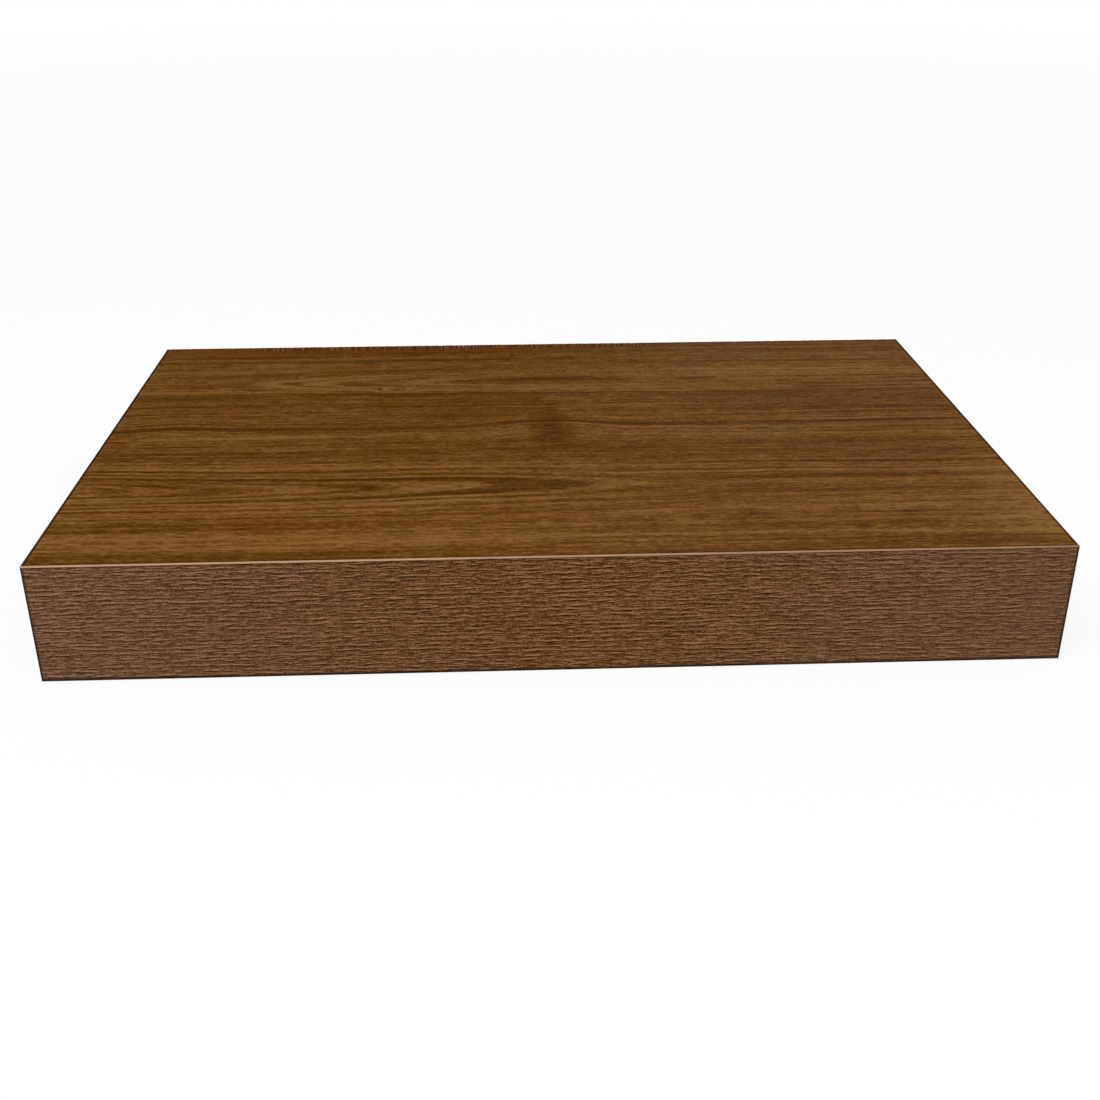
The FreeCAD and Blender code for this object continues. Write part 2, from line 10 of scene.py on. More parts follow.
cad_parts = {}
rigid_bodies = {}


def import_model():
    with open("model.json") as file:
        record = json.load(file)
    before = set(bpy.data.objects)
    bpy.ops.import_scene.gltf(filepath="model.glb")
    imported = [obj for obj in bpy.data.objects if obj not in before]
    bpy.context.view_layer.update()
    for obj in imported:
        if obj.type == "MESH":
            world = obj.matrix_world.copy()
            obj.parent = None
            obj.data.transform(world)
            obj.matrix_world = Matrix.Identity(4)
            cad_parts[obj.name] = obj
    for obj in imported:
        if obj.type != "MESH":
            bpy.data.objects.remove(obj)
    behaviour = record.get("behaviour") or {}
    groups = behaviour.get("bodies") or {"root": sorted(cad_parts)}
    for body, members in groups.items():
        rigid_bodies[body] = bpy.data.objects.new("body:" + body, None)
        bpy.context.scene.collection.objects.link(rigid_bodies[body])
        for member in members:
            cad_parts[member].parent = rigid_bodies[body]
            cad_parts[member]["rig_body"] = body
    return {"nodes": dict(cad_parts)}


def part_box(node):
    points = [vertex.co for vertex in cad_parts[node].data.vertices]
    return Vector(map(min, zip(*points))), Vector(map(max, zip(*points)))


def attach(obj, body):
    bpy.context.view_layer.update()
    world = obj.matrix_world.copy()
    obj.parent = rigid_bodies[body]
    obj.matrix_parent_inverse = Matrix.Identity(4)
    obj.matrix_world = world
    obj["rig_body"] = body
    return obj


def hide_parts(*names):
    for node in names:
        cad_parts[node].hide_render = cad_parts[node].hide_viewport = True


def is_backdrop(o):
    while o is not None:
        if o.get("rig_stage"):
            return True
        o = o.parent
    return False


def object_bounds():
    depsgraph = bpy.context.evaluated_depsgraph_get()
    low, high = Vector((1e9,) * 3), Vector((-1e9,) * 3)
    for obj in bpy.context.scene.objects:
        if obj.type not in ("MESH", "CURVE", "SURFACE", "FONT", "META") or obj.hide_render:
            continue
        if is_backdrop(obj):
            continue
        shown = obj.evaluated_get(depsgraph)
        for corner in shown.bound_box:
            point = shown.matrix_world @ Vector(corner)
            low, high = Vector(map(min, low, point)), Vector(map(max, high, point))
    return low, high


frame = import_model()

bl_info = {
    "name": "Walnut wall shelf",
    "version": (1, 0, 0),
    "blender": (4, 5, 0),
    "location": "3D View > Sidebar > Shelf",
    "description": "Finishes of a floating wall shelf with walnut decor and its hidden steel bracket",
    "category": "Object",
}

MM = 0.001  # metres in a millimetre
X, Y, Z = 0, 1, 2
QUARTER = math.pi / 2
SAME_PLACE = 0.001 * MM  # corners closer than this are one
SHARP = math.radians(40)  # edges that turn more than this stay sharp


def linear(colour):
    """An sRGB hex colour as the linear red, green, blue and alpha that the shaders take."""
    channels = [int(colour[i:i + 2], 16) / 255 for i in (1, 3, 5)]
    curved = [c / 12.92 if c <= 0.04045 else ((c + 0.055) / 1.055) ** 2.4 for c in channels]
    return [*curved, 1.0]


def size(name, description, default):
    """A length that a user may change. Its default is given in millimetres."""
    return FloatProperty(name=name, description=description, default=default * MM, min=0, unit="LENGTH")


def colour(name, description, default):
    """A colour that a user may change, given as sRGB hex."""
    return FloatVectorProperty(
        name=name, description=description, default=linear(default), subtype="COLOR", size=4, min=0, max=1
    )


class ShelfSizes(bpy.types.PropertyGroup):
    """Real sizes of the grain, the embossing and the small metal parts."""

    growth_line: size("Growth line", "Spacing of the printed walnut's growth lines", 2)
    fibre: size("Fibre", "Width of the printed walnut's fibres", 0.8)
    printed_pore: size("Printed pore", "Length of the dark dashes in the print", 9)
    saw_mark: size("Saw mark", "Longest saw mark at the back edge of the top", 11)
    tooth_mark: size("Tooth mark", "Width of one saw mark", 0.6)
    scorched_edge: size("Scorched edge", "Width of the brown line along the sawn back edge", 2.2)
    chip_depth: size("Edge chips", "Depth of the chips in the top foil's sawn back edge", 0.7)
    # How far the dark edges reach onto the faces: a dark line at the front top, painted shade at the ends
    # and lower edges
    stain_and_shade_margin: size("Stain margin", "How far the edges' stain has run onto the faces", 0.9)
    emboss_pitch: size("Embossing pitch", "Spacing of the band's embossed fibres, up the band", 0.8)
    emboss_length: size("Embossing length", "Length of the band's embossed fibres", 6)
    emboss_width: size("Embossing width", "Half the width of an embossed fibre", 0.22)
    emboss_depth: size("Embossing depth", "Height of the band's embossed fibres", 0.16)
    wood_chip: size("Wood chip", "Length of the chips in the chipboard", 3.5)
    pine_ring: size("Pine ring", "Width of one year's growth in the pine", 3.2)
    thread_pitch: size("Thread pitch", "Pitch of the lock screws' thread", 1)
    dowel_flutes: IntProperty(
        name="Dowel flutes", description="Glue flutes round a dowel", default=18, min=6
    )


class ShelfColours(bpy.types.PropertyGroup):
    """Colours of the finishes."""

    walnut_dark: colour("Walnut, dark", "Late wood and pores of the printed walnut", "#472700")
    walnut: colour("Walnut", "Ground of the printed walnut", "#653e0c")
    walnut_light: colour("Walnut, light", "Early wood of the printed walnut", "#815a2b")
    walnut_red: colour("Walnut, red", "Reddish zones of the printed walnut", "#73411a")
    walnut_olive: colour("Walnut, olive", "Greenish zones of the printed walnut", "#5f4415")
    saw_edge: colour("Saw edge", "Browned line along the sawn back edge", "#5f2c02")
    # The haze along the back edge is partly saw browning and, towards the right, painted shade
    saw_haze: colour("Saw haze", "Browned zone behind the saw marks", "#5d2f00")
    saw_dark: colour("Saw mark, dark", "Scorched saw marks at the back edge", "#431a00")
    saw_light: colour("Saw mark, light", "Bare fibres between the saw marks", "#9d6a33")
    # band_dark and band_light also carry painted shade in the band's pores and a painted highlight on its
    # raised fibres
    band_dark: colour("Band, dark", "Pores of the band", "#2b1404")
    band: colour("Band", "Ground of the band", "#5f3c1b")
    band_light: colour("Band, light", "Raised fibres of the band", "#8e6946")
    band_grey: colour("Band, faded", "Print towards the ends of the band", "#6a4f3c")
    band_core: colour("Band core", "Milled edge of the front band", "#ab886b")
    band_core_thin: colour("Band core, thin", "Edge of the front band where little was milled", "#765640")
    # The dark edge colour: painted shade on the band edges that face away from the light, and a dark line
    # at the front
    band_stain_and_shade: colour("Band stain", "Stained edges of the bands", "#1b0e07")
    hardboard: colour("Hardboard", "Raw hardboard", "#6d4d31")
    chip_light: colour("Chipboard, light", "Pale chips", "#d3b584")
    chip_dark: colour("Chipboard, dark", "Bark and dark chips", "#8a6740")
    pine_early: colour("Pine, early wood", "Pale part of each year's growth", "#dcbd8a")
    pine_late: colour("Pine, late wood", "Dark line of each year's growth", "#b5864e")
    beech: colour("Beech", "Ground of the dowels", "#cfa479")
    beech_fleck: colour("Beech fleck", "Short rays in the dowels", "#a87a50")
    kraft: colour("Kraft paper", "Honeycomb core", "#a98358")
    zinc: colour("Zinc", "Zinc plate on the bracket", "#c3c8cd")
    brass: colour("Brass", "Lock inserts", "#cda767")
    oxide: colour("Black oxide", "Lock screws", "#1c1c1f")
    ground: colour("Ground", "Floor of the studio", "#f2f2f2")


def add_node(tree, kind, inputs=(), output=0, stops=(), **settings):
    """Adds a shader node with its settings, feeds its inputs with values or sockets, returns an output.

    Inputs are listed in the node's order, or keyed by name. Sockets that the settings leave unused don't
    count. The stops are the places and colours of a colour ramp.
    """
    node = tree.nodes.new("ShaderNode" + kind)
    for name, value in settings.items():
        setattr(node, name, value)
    in_use = [s for s in node.inputs if not s.is_unavailable]
    named = {s.name: s for s in reversed(in_use)}
    pairs = inputs.items() if isinstance(inputs, dict) else enumerate(inputs)
    for key, value in pairs:
        socket = named[key] if isinstance(key, str) else in_use[key]
        if isinstance(value, bpy.types.NodeSocket):
            tree.links.new(value, socket)
        else:
            socket.default_value = value
    for i, (place, shade) in enumerate(stops):
        elements = node.color_ramp.elements
        stop = elements[0] if i == 0 else elements.new(place)
        stop.position = place
        stop.color = shade
        if i == 0:
            elements.remove(elements[1])
    outputs = [s for s in node.outputs if not s.is_unavailable]
    if isinstance(output, str):
        return next(s for s in outputs if s.name == output)
    return outputs[output] if outputs else None


def new_material(name):
    """An empty node material and its tree."""
    material = bpy.data.materials.new(name)
    material.use_nodes = True
    material.node_tree.nodes.clear()
    return material, material.node_tree


def close_material(material, shader, height, depth):
    """Ends a material with its shader, and with the relief that height, 0 to 1, gives over that depth."""
    tree = material.node_tree
    shader["Normal"] = add_node(tree, "Bump", {"Height": height, "Distance": depth})
    add_node(tree, "OutputMaterial", [add_node(tree, "BsdfPrincipled", shader)])
    return material


def pattern_space(tree, features, shift=(0, 0, 0)):
    """Places on the object counted in features, whose sizes along X, Y and Z are given in millimetres."""
    place = add_node(tree, "TexCoord", output="Object")
    counts = [1 / (feature * MM) for feature in features]
    return add_node(tree, "VectorMath", [place, counts, shift], operation="MULTIPLY_ADD")


def millimetres(tree):
    """The X, Y and Z of places on the object, in millimetres."""
    return add_node(tree, "SeparateXYZ", [pattern_space(tree, (1, 1, 1))]).node.outputs


def mottle(tree, features, detail, roughness=0.5):
    """Noise through the whole object, with features of those sizes along X, Y and Z in millimetres."""
    return add_node(tree, "TexNoise", [pattern_space(tree, features), 1, detail, roughness])


def uneven(tree, tint, pattern, span, values):
    """A tint whose brightness follows a pattern: across that span of it, from one value to the other."""
    value = add_node(tree, "MapRange", [pattern, *span, *values])
    return add_node(tree, "HueSaturation", {"Color": tint, "Value": value})


# The printed figure, in millimetres. Wander is the length and width of the growth lines' waves and how
# far they swing. A knot is a centre, a reach along and across the grain, and how far it lifts the lines.
# A heart is the place where the pith comes nearest the face, and how steeply it sinks to its left and
# right. Roundness blunts the arches' points, and ease is half the width in which the two hearts meet.
# Shades and hues are centres and reaches of soft spots that are paler (or darker, below 0) and redder
# (or greener, below 0) than the rest. Figured are the parts that show the hearts' arches: elsewhere the
# lines run straight on.
FIGURE_DEPTH = 260
WALNUT_FIGURE = {
    "turn": 1,
    "shift": (0, 0, 0),
    "wander": [((240, 62), 7), ((64, 15), 2.6), ((22, 5), 0.7)],
    "knots": [
        ((2, -124), (46, 26), -8),
        ((-172, -118), (34, 24), -3),
        ((-72, -72), (15, 5), 6),
        ((-206, -180), (72, 26), -3.5),
    ],
    "hearts": [(-262, -192, 0.05, 0.05), (5, -60, 0.09, 0.18)],
    "roundness": 1.2,
    "ease": 26,
    "shades": [
        ((3, -128), (17, 30), -0.5),
        ((3, -100), (9, 26), -0.12),
        ((6, -57), (54, 7), -0.55),
        ((78, -60), (18, 3), -0.4),
        ((-4, -192), (34, 5), -0.15),
        ((140, -127), (105, 6), -0.2),
        ((-205, -121), (40, 3), 0.25),
        ((140, -100), (120, 70), -0.12),
        ((-175, -114), (38, 4), -0.22),
        ((160, -196), (80, 9), 0.2),
        ((140, -46), (90, 12), 0.1),
        ((105, -62), (30, 5), 0.2),
        ((-118, -62), (32, 4), 0.2),
        ((78, -228), (30, 10), -0.25),
        ((-150, -17.5), (75, 3.2), -0.3),
        ((-55, -13), (80, 3.2), -0.25),
        ((-130, -24.5), (90, 3), 0.12),
        ((-40, -34), (170, 26), -0.14),
        ((-180, -36), (60, 18), -0.16),
        ((115, -24), (110, 15), -0.14),
        ((200, -212), (34, 84), 0.28),
        ((120, -230), (120, 15), -0.18),
        ((25, -236), (100, 7), -0.16),
        ((-150, -197), (60, 6), -0.18),
        ((150, -140), (50, 22), -0.1),
        ((-170, -146), (50, 6), -0.14),
        ((-90, -175), (62, 7), -0.2),
        ((-150, -131), (85, 13), 0.2),
        ((130, -65), (90, 7), 0.12),
        ((-130, -75), (36, 7), 0.2),
        ((-40, -92), (60, 24), -0.18),
        ((100, -86), (80, 8), -0.14),
        ((34, -75), (7, 4), -0.35),
        ((137, -75), (13, 8), -0.28),
        ((46, -98), (24, 9), 0.14),
    ],
    "hues": [
        ((-125, -8), (100, 8), 0.6),
        ((-105, -26), (60, 10), -0.25),
        ((60, -226), (60, 12), -0.2),
        ((-14, -191), (70, 9), -0.35),
        ((-38, -92), (52, 26), -0.25),
    ],
    "figured": [((-170, -192), (330, 66), 2), ((-72, -63), (125, 46), 2)],
}

# Tones of the growth lines round the front heart and round the back one, 0 dark to 1 light, against
# the growth coordinate in millimetres. Each scale begins and ends in the middle tone.
FRONT_LINES = [
    (-192, 0.5), (-186.4, 0.56), (-185.4, 0.3), (-184.6, 0.6), (-183.4, 0.6), (-182.6, 0.2),
    (-181.9, 0.7), (-181, 0.86), (-180.3, 0.7), (-179.7, 0.32), (-178.3, 0.12), (-177.6, 0.5),
    (-176.9, 0.95), (-176.2, 0.5), (-175.5, 0.16), (-174.6, 0.5), (-173.8, 0.6), (-172.9, 0.9),
    (-172, 0.5), (-170.5, 0.2), (-169.4, 0.5), (-167, 0.7), (-165.5, 0.5),
]
BACK_LINES = [
    (-133, 0.5), (-131.5, 0.34), (-129.5, 0.56), (-125.4, 0.56), (-123.6, 0.16), (-121.6, 0.16),
    (-119.4, 0.56), (-117.4, 0.34), (-115.6, 0.6), (-112, 0.5), (-82, 0.5), (-79.6, 0.3), (-77.6, 0.56),
    (-74, 0.5), (-72.8, 0.95), (-71.7, 0.2), (-70.6, 1), (-69.4, 0.2), (-68, 0.55), (-66.5, 0.6),
    (-64.5, 0.34), (-60, 0.34), (-57, 0.5),
]

# Broad tones of the board from its front edge to its back edge, in millimetres.
ZONE_TONES = [
    (-260, 0.56), (-254, 0.36), (-248, 0.74), (-241, 0.8), (-231, 0.58), (-214, 0.6), (-205, 0.54),
    (-184, 0.46), (-176, 0.58), (-164, 0.53), (-157, 0.36), (-146, 0.38), (-138, 0.66), (-115, 0.54),
    (-104, 0.42), (-95, 0.5), (-84, 0.38), (-72, 0.68), (-42, 0.7), (-34, 0.6), (-20, 0.64),
    (-16, 0.36), (-11, 0.67), (0, 0.63),
]


def soft_spot(tree, flat, centre, reach, height):
    """A smooth rise of that height at a centre, which ends at its reach along and across the grain."""
    away = add_node(tree, "VectorMath", [flat, (*centre, 0)], operation="SUBTRACT")
    counts = (1 / reach[X], 1 / reach[Y], 0)
    counted = add_node(tree, "VectorMath", [away, counts], operation="MULTIPLY")
    distance = add_node(tree, "VectorMath", [counted], "Value", operation="LENGTH")
    return add_node(tree, "MapRange", [distance, 0, 1, height, 0], interpolation_type="SMOOTHSTEP")


def growth_lines(tree, flat, figure):
    """Coordinates along and across the growth lines of a flat-sawn board, in millimetres, and how far
    back each place is.

    A board shows its years as lines. They stay level far from the pith, and round each heart, where the
    pith comes near the face, they close in long pointed arches, because the pith sinks away from the face
    to the left and right of it. The arches of the front heart and of the back heart meet halfway.
    """
    along = add_node(tree, "SeparateXYZ", [flat])
    across = along.node.outputs["Y"]
    for spans, lift in figure["wander"]:
        counts = [1 / spans[X], 1 / spans[Y], 0]
        spread = add_node(tree, "VectorMath", [flat, counts], operation="MULTIPLY")
        noise = add_node(tree, "TexNoise", [spread, 1, 1], noise_dimensions="2D")
        centred = add_node(tree, "Math", [noise, 0.5], operation="SUBTRACT")
        across = add_node(tree, "Math", [centred, lift, across], operation="MULTIPLY_ADD")
    for knot in figure["knots"]:
        across = add_node(tree, "Math", [across, soft_spot(tree, flat, *knot)])
    radii = []
    for middle, level, to_left, to_right in figure["hearts"]:
        beside = add_node(tree, "Math", [along, middle], operation="SUBTRACT")
        left = add_node(tree, "Math", [beside, -to_left], operation="MULTIPLY")
        right = add_node(tree, "Math", [beside, to_right], operation="MULTIPLY")
        sunk = add_node(tree, "Math", [left, right], operation="MAXIMUM")
        off = add_node(tree, "Math", [across, level], operation="SUBTRACT")
        pith = add_node(tree, "CombineXYZ", [off, sunk, figure["roundness"]])
        radii.append(add_node(tree, "VectorMath", [pith], "Value", operation="LENGTH"))
    levels = [heart[1] for heart in figure["hearts"]]
    front = add_node(tree, "Math", [levels[0], radii[0]])
    back = add_node(tree, "Math", [levels[1], radii[1]], operation="SUBTRACT")
    meeting = (levels[0] + levels[1]) / 2
    ease = figure["ease"]
    share = add_node(
        tree, "MapRange", [across, meeting - ease, meeting + ease], interpolation_type="SMOOTHSTEP"
    )
    growth = add_node(tree, "Mix", [share, front, back])
    return add_node(tree, "CombineXYZ", [along, growth]), across


def grain_noise(tree, grain, length, width, detail, roughness=0.55):
    """Noise drawn out along the grain, with features of that length and width in millimetres."""
    stretched = add_node(tree, "VectorMath", [grain, (1 / length, 1 / width, 0)], operation="MULTIPLY")
    return add_node(tree, "TexNoise", [stretched, 1, detail, roughness], noise_dimensions="2D")


def tone_scale(tree, place, tones):
    """Tones, 0 dark to 1 light, laid along a coordinate in millimetres and blended in between."""
    first, last = tones[0][0], tones[-1][0]
    share = add_node(tree, "MapRange", [place, first, last])
    stops = [((mm - first) / (last - first), (tone, tone, tone, 1)) for mm, tone in tones]
    return add_node(tree, "ValToRGB", [share], stops=stops)


def weighed_tone(tree, parts):
    """The sum of tones with their weights, so that middle tones give 0.5."""
    total = 0
    for tone, weight in parts:
        total = add_node(tree, "Math", [tone, weight, total], operation="MULTIPLY_ADD")
    middle = sum(weight for _, weight in parts) / 2
    return add_node(tree, "MapRange", [total, middle - 0.5, middle + 0.5])


# Where along the top's back edge the saw's torn marks begin and end, where the darker haze along it
# weakens, and how deep the haze behind the marks goes, in millimetres. Each fades from its first place to
# its second.
TORN_FROM = (-168, -140)
TORN_TO = (40, 75)
HAZE_FADE_ALONG = (20, 100)
HAZE_REACH = (7, 19)


def saw_marks(tree, wood, colours, sizes):
    """The print's colour with the traces of the saw along the back edge of the top.

    The edge itself is browned by the blade, and a zone along it is darker, more weakly: browning near the
    torn marks, painted shade towards the right. From the left end to a little right of the middle the
    teeth have also left marks across the grain: long faint ones, and over them short ones, some dark and
    some torn down to the bare fibre.
    """
    along, across, _ = millimetres(tree)
    inset = add_node(tree, "Math", [across, -1], operation="MULTIPLY")
    begin = add_node(tree, "MapRange", [along, *TORN_FROM], interpolation_type="SMOOTHSTEP")
    end = add_node(tree, "MapRange", [along, *TORN_TO, 1, 0.35], interpolation_type="SMOOTHSTEP")
    torn = add_node(tree, "Math", [begin, end], operation="MULTIPLY")
    # A darker haze along the back edge, strongest at the left; towards the right it is painted shade
    haze_strength = add_node(tree, "MapRange", [along, *HAZE_FADE_ALONG, 0.6, 0.3], interpolation_type="SMOOTHSTEP")
    haze = add_node(tree, "MapRange", [inset, *HAZE_REACH, haze_strength, 0], interpolation_type="SMOOTHSTEP")
    wood = add_node(tree, "Mix", [haze, wood, colours.saw_haze], data_type="RGBA")
    scorch = sizes.scorched_edge / MM
    edge = add_node(tree, "MapRange", [inset, scorch * 0.8, scorch * 1.3, 1, 0])
    wood = add_node(tree, "Mix", [edge, wood, colours.saw_edge], data_type="RGBA")
    faint = [(0.42, colours.saw_dark), (0.55, colours.walnut_dark), (0.62, colours.walnut_red)]
    clear = [(0.5, colours.saw_dark), (0.55, colours.walnut_red), (0.62, colours.saw_light)]
    for longest, share, stops, shift in (
        (sizes.saw_mark / MM, 0.8, faint, (3, 7, 0)),
        (sizes.saw_mark / MM * 0.6, 0.85, clear, (71, 29, 0)),
    ):
        teeth = pattern_space(tree, (sizes.tooth_mark / MM, 600, 600), shift)
        cut = add_node(tree, "TexNoise", [teeth, 1, 1], noise_dimensions="2D")
        reach = add_node(tree, "MapRange", [cut, 0.34, 0.58, 0, longest])
        streaks = add_node(tree, "VectorMath", [teeth, (40, 9, 0)])
        streak = add_node(tree, "TexNoise", [streaks, 1, 1], noise_dimensions="2D")
        mark = add_node(tree, "ValToRGB", [streak], stops=stops)
        beyond = add_node(tree, "Math", [inset, reach], operation="SUBTRACT")
        shown = add_node(tree, "MapRange", [beyond, -0.8, 0.4, share, 0])
        shown = add_node(tree, "Math", [shown, torn], operation="MULTIPLY")
        wood = add_node(tree, "Mix", [shown, wood, mark], data_type="RGBA")
    return wood


def stain_and_shade_margins(tree, wood, colours, sizes):
    """The print's colour darkened beside the bands: painted shade at both ends, a dark line at the front.
    """
    low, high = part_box("top_foil")
    margin = sizes.stain_and_shade_margin / MM
    along, across, _ = millimetres(tree)
    from_middle = add_node(tree, "Math", [along], operation="ABSOLUTE")
    end = high.x / MM
    front = low.y / MM
    # ends: painted shade beside the shaded band ends; fronts: a dark line along the front band
    ends = add_node(tree, "MapRange", [from_middle, end - margin, end - margin / 2, 0, 0.95])
    fronts = add_node(tree, "MapRange", [across, front + 2 * margin, front, 0, 0.6])
    share = add_node(tree, "Math", [ends, fronts], operation="MAXIMUM")
    return add_node(tree, "Mix", [share, wood, colours.band_stain_and_shade], data_type="RGBA")


def printed_walnut(name, colours, sizes, figure, sawn=False):
    """Decor paper printed as flat-sawn walnut under a satin seal coat.

    The eye gets broad warm zones, fine growth lines that close in arches, short dark pores and a soft,
    even sheen. The fibres are drawn coarser than the print's own dots, which are too fine to show.
    """
    material, tree = new_material(name)
    turn = figure["turn"]
    flat = pattern_space(tree, (turn, turn, 1), figure["shift"])
    grain, across = growth_lines(tree, flat, figure)
    growth = add_node(tree, "SeparateXYZ", [grain], "Y")
    level = add_node(tree, "CombineXYZ", [add_node(tree, "SeparateXYZ", [flat]), across])
    line = sizes.growth_line / MM
    fibre = sizes.fibre / MM
    lasting = grain_noise(tree, grain, 110, 9, 1)
    lasting = add_node(tree, "MapRange", [lasting, 0.36, 0.58, 0.55, 1])
    figured = 0
    for part in figure["figured"]:
        figured = add_node(tree, "Math", [figured, soft_spot(tree, flat, *part)])
    lines = []
    for place in (across, growth):
        tones = [tone_scale(tree, place, scale) for scale in (FRONT_LINES, BACK_LINES)]
        both = add_node(tree, "Math", tones)
        lines.append(add_node(tree, "Math", [both, 0.5], operation="SUBTRACT"))
    years = [grain_noise(tree, place, 240, line, 3, 0.65) for place in (level, grain)]
    drawn = add_node(tree, "Mix", [lasting, 0.5, add_node(tree, "Mix", [figured, *lines])])
    fibres = grain_noise(tree, level, 7, fibre, 1)
    tone = weighed_tone(
        tree,
        [
            (drawn, 1.3),
            (tone_scale(tree, across, ZONE_TONES), 0.9),
            (grain_noise(tree, level, 380, line * 5, 1), 0.66),
            (add_node(tree, "Mix", [figured, *years]), 1.5),
            (grain_noise(tree, level, 26, fibre * 2, 1), 0.6),
            (fibres, 1.08),
            (grain_noise(tree, level, 2.4, 1.4, 1), 0.82),
            (grain_noise(tree, level, 14, 7, 2), 0.4),
        ],
    )
    for shade in figure["shades"]:
        tone = add_node(tree, "Math", [tone, soft_spot(tree, flat, *shade)])
    stops = [(0, colours.walnut_dark), (0.5, colours.walnut), (1, colours.walnut_light)]
    wood = add_node(tree, "ValToRGB", [tone], stops=stops)
    warmth = grain_noise(tree, level, 90, 26, 2)
    for hue in figure["hues"]:
        warmth = add_node(tree, "Math", [warmth, soft_spot(tree, flat, *hue)])
    for tint, least in ((colours.walnut_red, 0.75), (colours.walnut_olive, 0.25)):
        share = add_node(tree, "MapRange", [warmth, 0.5, least, 0, 0.38])
        wood = add_node(tree, "Mix", [share, wood, tint], data_type="RGBA", blend_type="COLOR")
    pores = grain_noise(tree, level, sizes.printed_pore / MM, fibre * 0.7, 1)
    pores = add_node(tree, "MapRange", [pores, 0.6, 0.74, 0, 0.45])
    wood = add_node(tree, "Mix", [pores, wood, colours.walnut_dark], data_type="RGBA")
    if sawn:
        wood = saw_marks(tree, wood, colours, sizes)
    wood = stain_and_shade_margins(tree, wood, colours, sizes)
    gloss = add_node(tree, "MapRange", [fibres, 0.3, 0.7, 0.36, 0.44])
    relief = add_node(tree, "Math", [fibres, pores], operation="SUBTRACT")
    shader = {"Base Color": wood, "Roughness": gloss, "IOR": 1.5, "Specular IOR Level": 0.04}
    return close_material(material, shader, relief, 0.02 * MM)


def embossed_decor(name, colours, sizes, length=None):
    """Edge band of ABS plastic, printed walnut brown and embossed with a roller.

    The eye gets short pale fibres that catch the light, each with a dark pore below it, and hardly any
    gloss. The relief is in the mesh, and the points carry a tone that follows it: painted shade in the
    pores and a painted highlight on the fibres, mixed with the print's own noise. Along the lower edge,
    and at both ends of a band of a given length, the colour turns dark as painted shade. Such
    a band is a little paler towards its left end and more even towards its right end.
    """
    material, tree = new_material(name)
    along, _, height = millimetres(tree)
    from_middle = add_node(tree, "Math", [along], operation="ABSOLUTE")
    # The points' tone follows the relief: painted shade in the pores, painted highlight on the fibres
    tone = add_node(tree, "Attribute", output="Fac", attribute_name="print")
    strokes = mottle(tree, (3.2, 3.2, 0.32), 2, 0.6)
    speckle = mottle(tree, (0.7, 0.7, 0.4), 1)
    clouds = mottle(tree, (70, 70, 9), 2)
    tone = weighed_tone(tree, [(tone, 1.4), (strokes, 1.15), (speckle, 1.3), (clouds, 0.1)])
    if length is not None:
        end = length / MM / 2
        paler = add_node(tree, "MapRange", [along, -end, -end / 3, 0.06, 0])
        tone = add_node(tree, "Math", [tone, paler])
        calmer = add_node(tree, "MapRange", [along, end / 4, end, 0, 0.22])
        tone = add_node(tree, "Mix", [calmer, tone, 0.5])
    stops = [(0, colours.band_dark), (0.5, colours.band), (1, colours.band_light)]
    printed = add_node(tree, "ValToRGB", [tone], stops=stops)
    faded = add_node(tree, "MapRange", [from_middle, 0, 200, 0, 0.6])
    faded = add_node(
        tree, "Mix", [faded, printed, colours.band_grey], data_type="RGBA", blend_type="COLOR"
    )
    margin = sizes.stain_and_shade_margin / MM
    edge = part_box("front_edge_band")[1].z / MM
    # upper: a dark line just under the pale top edge
    upper = add_node(tree, "MapRange", [height, edge - 2 * margin, edge - margin, 0, 0.2])
    # lower: painted shade along the band's lower edge
    lower = add_node(tree, "MapRange", [height, 2 * margin - edge, margin - edge, 0, 0.8])
    stain_and_shade = add_node(tree, "Math", [upper, lower], operation="MAXIMUM")
    if length is not None:
        # ends: painted shade at the band's ends
        ends = add_node(tree, "MapRange", [from_middle, end - 1.6 * margin, end - margin, 0, 0.6])
        stain_and_shade = add_node(tree, "Math", [stain_and_shade, ends], operation="MAXIMUM")
    shade = add_node(tree, "Mix", [stain_and_shade, faded, colours.band_stain_and_shade], data_type="RGBA")
    shader = {"Base Color": shade, "Roughness": 0.6, "IOR": 1.5, "Specular IOR Level": 0.03}
    return close_material(material, shader, strokes, 0.04 * MM)


def milled_edge(name, tint, fade_tint=None, axis=X, span=(0, 0)):
    """Band edge after milling, or darkened as painted shade: plain plastic with faint cutter marks along
    it.

    Where a second tint is given, the first turns into it over a span along an axis, in millimetres.
    """
    material, tree = new_material(name)
    marks = mottle(tree, (6, 6, 0.25), 2)
    if fade_tint is not None:
        share = add_node(tree, "MapRange", [millimetres(tree)[axis], *span])
        tint = add_node(tree, "Mix", [share, tint, fade_tint], data_type="RGBA")
    shade = uneven(tree, tint, marks, (0.25, 0.75), (0.82, 1.12))
    shader = {"Base Color": shade, "Roughness": 0.5, "IOR": 1.5, "Specular IOR Level": 0.05}
    return close_material(material, shader, marks, 0.02 * MM)


def raw_hardboard(colours):
    """Hardboard, wet-pressed wood fibre: felted brown fibres, no gloss, fuzzy sawn edges."""
    material, tree = new_material("hardboard_pressed_fibre")
    felt = mottle(tree, (1.6, 1.6, 0.35), 4, 0.7)
    shade = uneven(tree, colours.hardboard, felt, (0.3, 0.7), (0.7, 1.25))
    return close_material(material, {"Base Color": shade, "Roughness": 0.85}, felt, 0.15 * MM)


